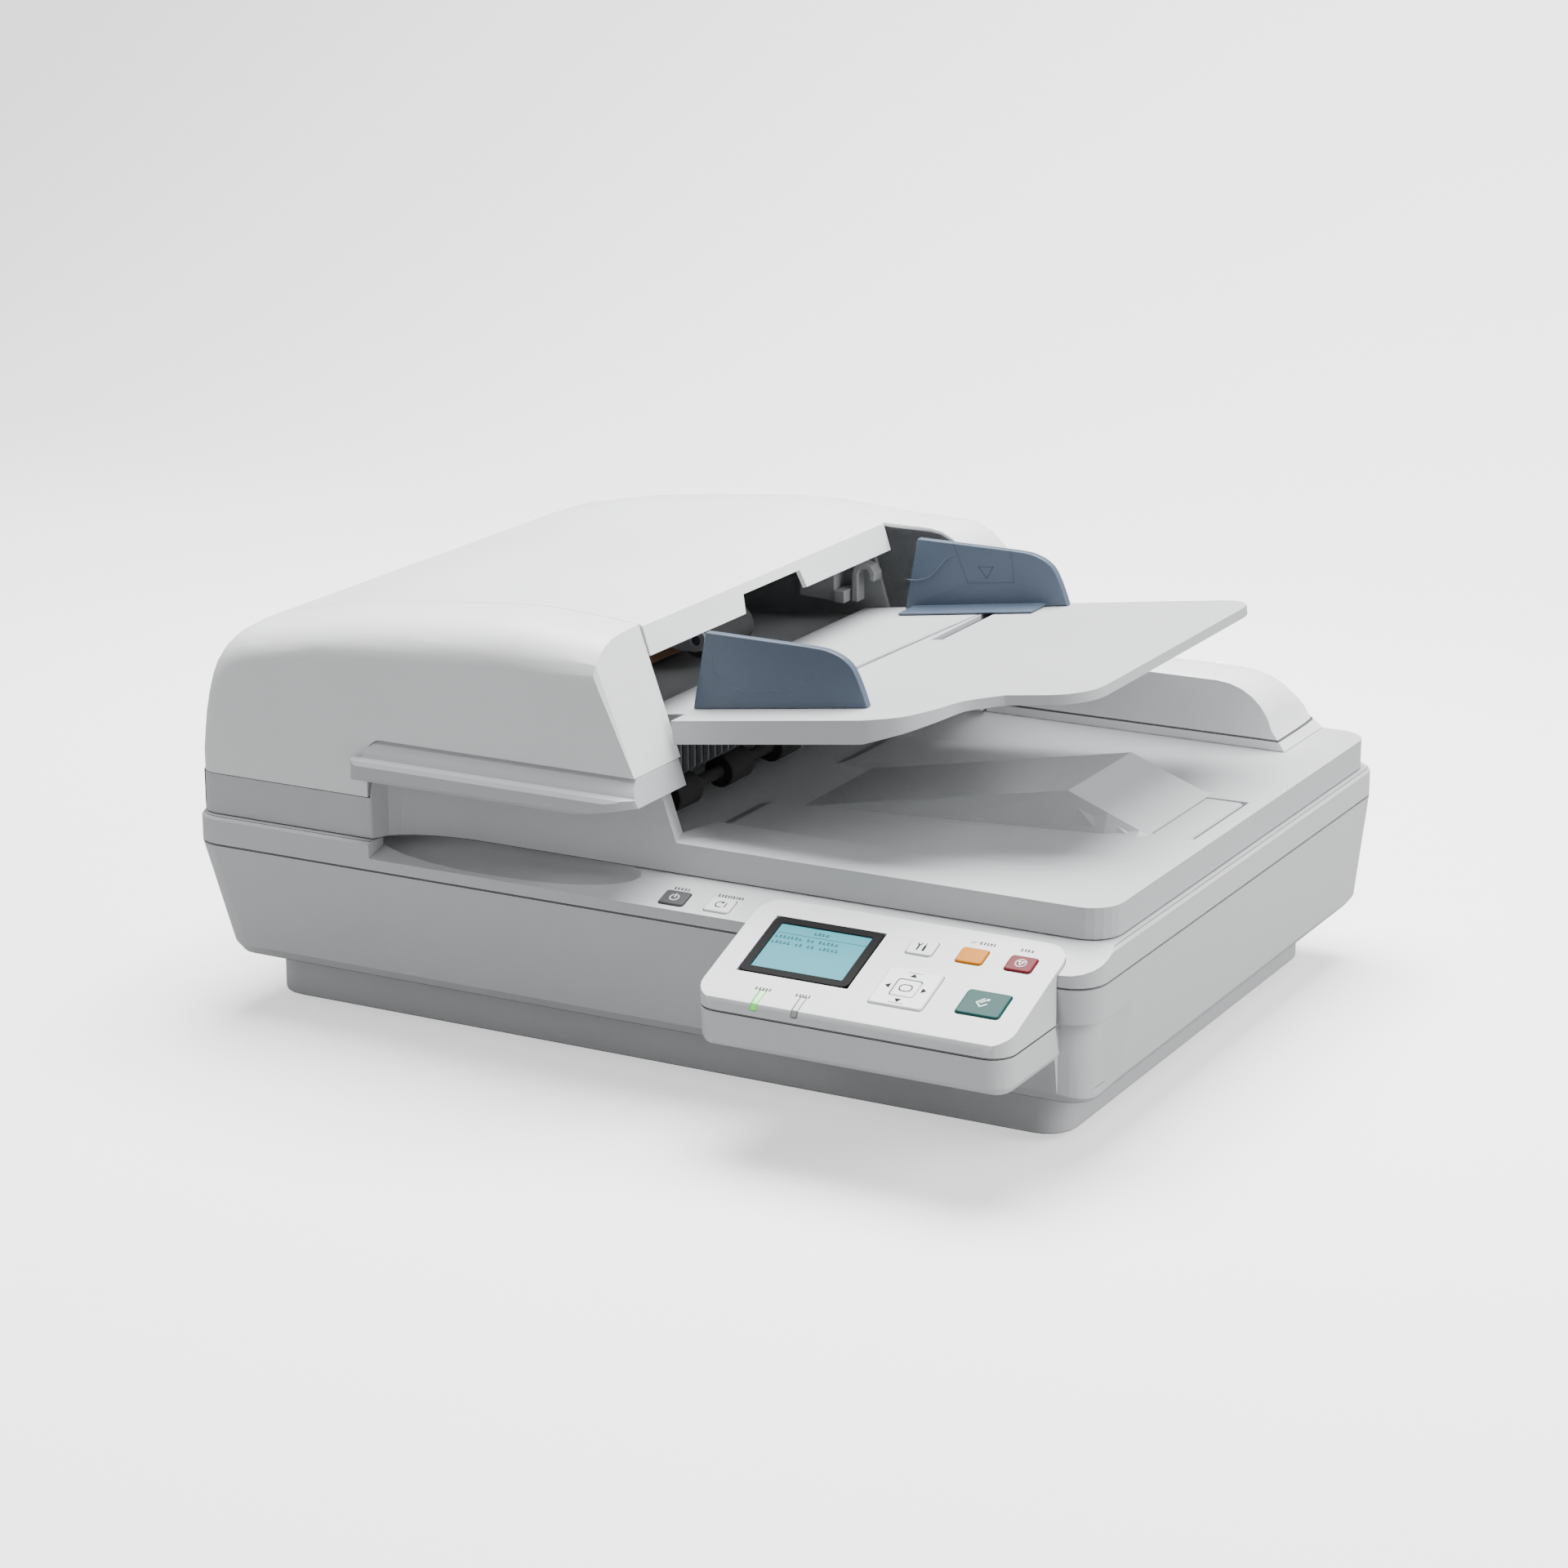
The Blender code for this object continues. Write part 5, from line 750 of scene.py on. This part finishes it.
frame_grey = moulding("frame_grey", (0.20, 0.205, 0.21), 0.55, grain=1200, tone=0.10)
frame_charcoal = moulding("frame_charcoal", (0.030, 0.031, 0.033), 0.55, grain=1200, tone=0.12)
cork = moulding("cork", (0.30, 0.17, 0.09), 0.9, grain=500, depth=0.0002, tone=0.35)
shell("feeder_frame", 0.0005, frame_grey, "frame_plastic")
for node in ("feed_roller", "turn_roller", "exit_roller", "pickup_roller"):
    shell(node, 0.0004, rubber_black, "rubber")
shell("separation_pad", 0.0004, cork, "pad_cork")
shell("feed_motor", 0.0005, plated_steel, "steel")
shell("pickup_arm", 0.0004, motor_grey, "mid_grey_plastic")


def turned_out(name, points, faces):
    """A closed mesh from its points and faces, with every face turned outwards."""
    mesh = bpy.data.meshes.new(name)
    mesh.from_pydata(points, [], faces)
    work = bmesh.new()
    work.from_mesh(mesh)
    bmesh.ops.recalc_face_normals(work, faces=work.faces)
    work.to_mesh(mesh)
    work.free()
    return mesh


def extruded(name, outline, low, high, radius, material):
    """A moulding on the lid with one outline in x and z, from low to high in y, with rolled edges."""
    points = [(x, y, z) for y in (low, high) for x, z in outline]
    count = len(outline)
    faces = [tuple(range(count)), tuple(count + k for k in reversed(range(count)))]
    for k in range(count):
        after = (k + 1) % count
        faces.append((k, k + count, after + count, after))
    piece = rounded_edges(link(name, turned_out(name, points, faces)), radius, 2)
    return finished(piece, material, "lid", "frame_plastic")


COMB_LEFT, COMB_THICK = -0.0112, 0.0012
COMB_LOW, COMB_HIGH = 0.1265, 0.1472
RIB_PITCH, RIB_THICK, RIB_OUT = 0.0064, 0.0012, 0.0034
RIB_INSET = 0.002
front_y, back_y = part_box("exit_roller")[0][1] + 0.006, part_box("exit_roller")[1][1] - 0.006
comb_right, rib_left, rib_right = COMB_LEFT + COMB_THICK, COMB_LEFT + 0.0010, COMB_LEFT + RIB_OUT
comb = [(COMB_LEFT, COMB_LOW), (comb_right, COMB_LOW), (comb_right, COMB_HIGH), (COMB_LEFT, COMB_HIGH)]
rib = [(rib_left, COMB_LOW + 0.0004), (rib_right, COMB_LOW + 0.0022),
       (rib_right, COMB_HIGH - 0.0015), (rib_left, COMB_HIGH - 0.0004)]
extruded("exit_comb", comb, front_y, back_y, 0.0002, frame_charcoal)
for count in range(int((back_y - front_y - 2 * RIB_INSET) / RIB_PITCH) + 1):
    y = front_y + RIB_INSET + count * RIB_PITCH
    extruded(f"exit_comb_rib_{count:02d}", rib, y, y + RIB_THICK, 0.0002, motor_grey)
wall_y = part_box("exit_roller")[1][1] - 0.0035
bracket_grey = moulding("bracket_grey", (0.26, 0.265, 0.27), 0.5, grain=1600, tone=0.06)
housing = [(-0.050, 0.1665), (-0.030, 0.1655), (-0.030, 0.1860), (-0.034, 0.1875), (-0.050, 0.1880)]
low_step = [(-0.0295, 0.1655), (-0.0235, 0.1655), (-0.0235, 0.1720), (-0.0295, 0.1720)]
hook = [
    (-0.0225, 0.1655), (-0.0190, 0.1655), (-0.0190, 0.1800), (-0.0172, 0.1828), (-0.0140, 0.1828),
    (-0.0122, 0.1800), (-0.0128, 0.1775), (-0.0100, 0.1770), (-0.0092, 0.1812), (-0.0118, 0.1850),
    (-0.0165, 0.1862), (-0.0212, 0.1840), (-0.0225, 0.1800),
]
extruded("sensor_housing", housing, wall_y - 0.012, wall_y, 0.0006, bracket_grey)
extruded("sensor_step", low_step, wall_y - 0.014, wall_y, 0.0006, bracket_grey)
extruded("stop_hook", hook, wall_y - 0.008, wall_y, 0.0006, bracket_grey)

# ---- Feeder covers ------------------------------------------------------------------------------
# Satin white ABS. The top cover swings up on pins at its left foot to clear a jam.
# The two end covers and the hump over the hinge springs are screwed down from below.

# Height of the covers' foot joint, where the white paints a dark line of shade.
cover_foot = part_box("top_cover")[0][2] - 0.0032
cover_white = moulding("cover_white", (0.80, 0.81, 0.82), 0.36, shaded_seams=((cover_foot, 0.0005),))
shell("top_cover", 0.0007, cover_white, "white_shell", segments=3, angle=30)
shell("cover_liner", 0.0004, motor_grey, "mid_grey_plastic")
for node in ("front_end_cover", "rear_end_cover"):
    shell(node, 0.0014, cover_white, "white_shell", segments=4, angle=30)
shell("hinge_cover", 0.0014, cover_white, "white_shell", segments=4, angle=25)

# ---- Input tray and edge guides -----------------------------------------------------------------
# The tray is a light grey moulding that hinges up at the feeder's mouth.
# The slate blue guides slide in its slots on racks that share one pinion, so that they stay centred.

guide_slate = moulding("guide_slate", (0.066, 0.092, 0.135), 0.40, rub=0.6)
shell("input_tray", 0.0022, lid_grey, "light_grey_shell", segments=4)
shell("tray_underside", 0.0003, lid_grey, "light_grey_shell")
shell("guide_front", 0.0011, guide_slate, "slate_blue", segments=4)
shell("guide_rear", 0.0011, guide_slate, "slate_blue", segments=4)
shell("rack_pinion", 0.0002, nylon, "nylon")
TRAY_SLOPE = radians(7.5)


def side_face(node, way):
    """A guide's upright face: x up the tray's slope, y square to it and z out of the face."""
    mesh = frame["nodes"][node].data
    along = Vector((cos(TRAY_SLOPE), 0, sin(TRAY_SLOPE)))
    over = Vector((-sin(TRAY_SLOPE), 0, cos(TRAY_SLOPE)))
    areas = {}
    for face in mesh.polygons:
        if face.normal.y * way > 0.99:
            edge = round(mesh.vertices[face.vertices[0]].co.y, 4)
            areas.setdefault(edge, []).append(face)
    faces = max(areas.values(), key=lambda group: sum(face.area for face in group))
    at_face = [mesh.vertices[i].co for face in faces for i in face.vertices]
    edge = at_face[0].y
    start = min(point.dot(along) for point in at_face)
    foot = min(point.dot(over) for point in at_face)
    corner = along * start + over * foot + Vector((0, edge, 0))
    out = Vector((0, way, 0))
    return Matrix.Translation(corner) @ Matrix((along, over, out)).transposed().to_4x4()


def ridge(name, place, path, width, height, body):
    """A low rounded bead moulded on a face, in millimetres, that tapers out at both ends."""
    points, faces = [], []
    path = [Vector((x, y)) for x, y in path]
    count = len(path)
    sides = 7
    for index, spot in enumerate(path):
        ahead = path[min(index + 1, count - 1)] - path[max(index - 1, 0)]
        across = Vector((-ahead.y, ahead.x)).normalized()
        swell = sin(pi * min(max(index / (count - 1), 0.02), 0.98)) ** 0.5
        for step in range(sides):
            angle = pi * step / (sides - 1)
            flat = spot + across * (cos(angle) * width / 2 * swell)
            rise = sin(angle) * height * swell - 0.05
            points.append(place @ Vector((flat.x / 1000, flat.y / 1000, rise / 1000)))
    for index in range(count - 1):
        for step in range(sides):
            after = (step + 1) % sides
            a, b = index * sides + step, index * sides + after
            faces.append((a, b, b + sides, a + sides))
    faces.append(tuple(range(sides)))
    faces.append(tuple((count - 1) * sides + k for k in reversed(range(sides))))
    mesh = turned_out(name, points, faces)
    mesh.shade_smooth()
    return finished(link(name, mesh), guide_slate, body, "slate_blue")


def curve_through(points, steps=8):
    """A smooth path through the points."""
    path = []
    for index in range(len(points) - 1):
        before = Vector(points[max(index - 1, 0)])
        first, second = Vector(points[index]), Vector(points[index + 1])
        after = Vector(points[min(index + 2, len(points) - 1)])
        for step in range(steps):
            t = step / steps
            bend = (2 * before - 5 * first + 4 * second - after) * t**2
            twist = (3 * first - before - 3 * second + after) * t**3
            path.append(tuple(0.5 * (2 * first + (second - before) * t + bend + twist)))
    return [*path, tuple(points[-1])]


front_face = side_face("guide_front", -1)
dent = curve_through([(13, 27), (14, 16), (22, 9.5), (36, 8), (52, 9), (62, 14), (65.5, 24)])
ridge("guide_front_dent", front_face, dent, 1.0, 0.28, body_of("guide_front"))
rear_face = side_face("guide_rear", -1)
ramp = curve_through([(2.5, 15), (9, 14.4), (16, 16), (22, 21), (27, 25.5), (32, 27)])
ridge("guide_rear_ramp", rear_face, ramp, 1.5, 0.7, body_of("guide_rear"))
marks = []
for points, width in (
    ([(31, 32.5), (36.5, 12.5)], 0.35),
    ([(36.5, 12.5), (62, 12.0)], 0.3),
    ([(62, 12.0), (62, 27.5)], 0.3),
    ([(43.5, 20.5), (51.5, 20.2)], 0.45),
    ([(43.5, 20.5), (47.3, 14.5), (51.5, 20.2)], 0.45),
):
    marks += stroke(points, width)
slate_line = moulding("slate_line", (0.038, 0.055, 0.085), 0.5, grain=2400, tone=0.05, rub=0)
printed("guide_rear_marks", rear_face, marks, slate_line, body_of("guide_rear"), "slate_blue", rise=0.00005)

# ---- Floor, light and camera --------------------------------------------------------------------
# A pale matt floor that turns up behind the scanner, a wide soft light overhead, one at the right and a weak
# one in front.


def floor_paper(name):
    """White background paper, lit a little from behind, that throws little of its light at the scanner."""
    material = moulding(name, (0.93, 0.93, 0.93), 0.9, grain=300, depth=0.00002, tone=0.005, rub=0)
    nodes, links = material.node_tree.nodes, material.node_tree.links
    shader = nodes["Principled BSDF"]
    shader.inputs["Emission Color"].default_value = (1, 1, 1, 1)
    shader.inputs["Emission Strength"].default_value = 0.9
    dull = nodes.new("ShaderNodeBsdfDiffuse")
    dull.inputs["Color"].default_value = (0.30, 0.30, 0.30, 1)
    seen = nodes.new("ShaderNodeLightPath")
    choice = nodes.new("ShaderNodeMixShader")
    links.new(seen.outputs["Is Camera Ray"], choice.inputs["Fac"])
    links.new(dull.outputs["BSDF"], choice.inputs[1])
    links.new(shader.outputs["BSDF"], choice.inputs[2])
    links.new(choice.outputs["Shader"], nodes["Material Output"].inputs["Surface"])
    return material


def plain_floor():
    """Paper that lies flat under the scanner and curves up behind it."""
    size, bend_start, bend_radius, steps = 3.0, 0.9, 0.8, 12
    rows = [(-size, 0.0), (bend_start, 0.0)]
    for step in range(1, steps + 1):
        angle = 0.5 * pi * step / steps
        rows.append((bend_start + bend_radius * sin(angle), bend_radius * (1 - cos(angle))))
    rows.append((bend_start + bend_radius, size))
    points = [(x, y, z) for y, z in rows for x in (-size, size)]
    faces = [(2 * i, 2 * i + 1, 2 * i + 3, 2 * i + 2) for i in range(len(rows) - 1)]
    mesh = bpy.data.meshes.new("studio_floor")
    mesh.from_pydata(points, [], faces)
    mesh.shade_smooth()
    floor = link("studio_floor", mesh)
    floor.data.materials.append(floor_paper("floor_paper"))


def soft_light(name, place, target, size, power):
    lamp = bpy.data.lights.new(name, "AREA")
    lamp.shape = "RECTANGLE"
    lamp.size, lamp.size_y = size
    lamp.energy = power
    obj = link(name, lamp)
    obj.location = place
    obj.rotation_euler = (Vector(target) - Vector(place)).to_track_quat("-Z", "Y").to_euler()


plain_floor()
middle = (0.0, 0.0, 0.09)
soft_light("top_light", (-0.1, 0.35, 1.6), middle, (1.3, 1.3), 108)
soft_light("right_light", (1.7, 0.1, 1.0), middle, (1.1, 1.1), 34)
soft_light("front_light", (-0.9, -1.8, 0.9), middle, (1.4, 1.0), 7)
world = bpy.data.worlds.new("studio")
world.use_nodes = True
world.node_tree.nodes["Background"].inputs["Color"].default_value = (0.95, 0.97, 1.0, 1)
world.node_tree.nodes["Background"].inputs["Strength"].default_value = 0.27
bpy.context.scene.world = world

VIEW_TURN = radians(28.385)
VIEW_RISE = radians(16.38)
VIEW_ROLL = radians(-0.139)
VIEW_DISTANCE = 1.9421
VIEW_SHIFT = (-0.006105, 0.091288)
LENS = 90.91
back = Vector((sin(VIEW_TURN) * cos(VIEW_RISE), -cos(VIEW_TURN) * cos(VIEW_RISE), sin(VIEW_RISE)))
right = Vector((cos(VIEW_TURN), sin(VIEW_TURN), 0))
up = back.cross(right)
rolled_right = right * cos(VIEW_ROLL) + up * sin(VIEW_ROLL)
rolled_up = up * cos(VIEW_ROLL) - right * sin(VIEW_ROLL)
aimed_at = Vector((0, 0.0255, 0.004))
place = aimed_at + rolled_right * VIEW_SHIFT[0] + rolled_up * VIEW_SHIFT[1] + back * VIEW_DISTANCE
camera = link("camera", bpy.data.cameras.new("camera"))
camera.data.lens = LENS
camera.data.sensor_width = 36
camera.matrix_world = Matrix(
    [[rolled_right[i], rolled_up[i], back[i], place[i]] for i in range(3)] + [[0, 0, 0, 1]]
)
bpy.context.scene.camera = camera
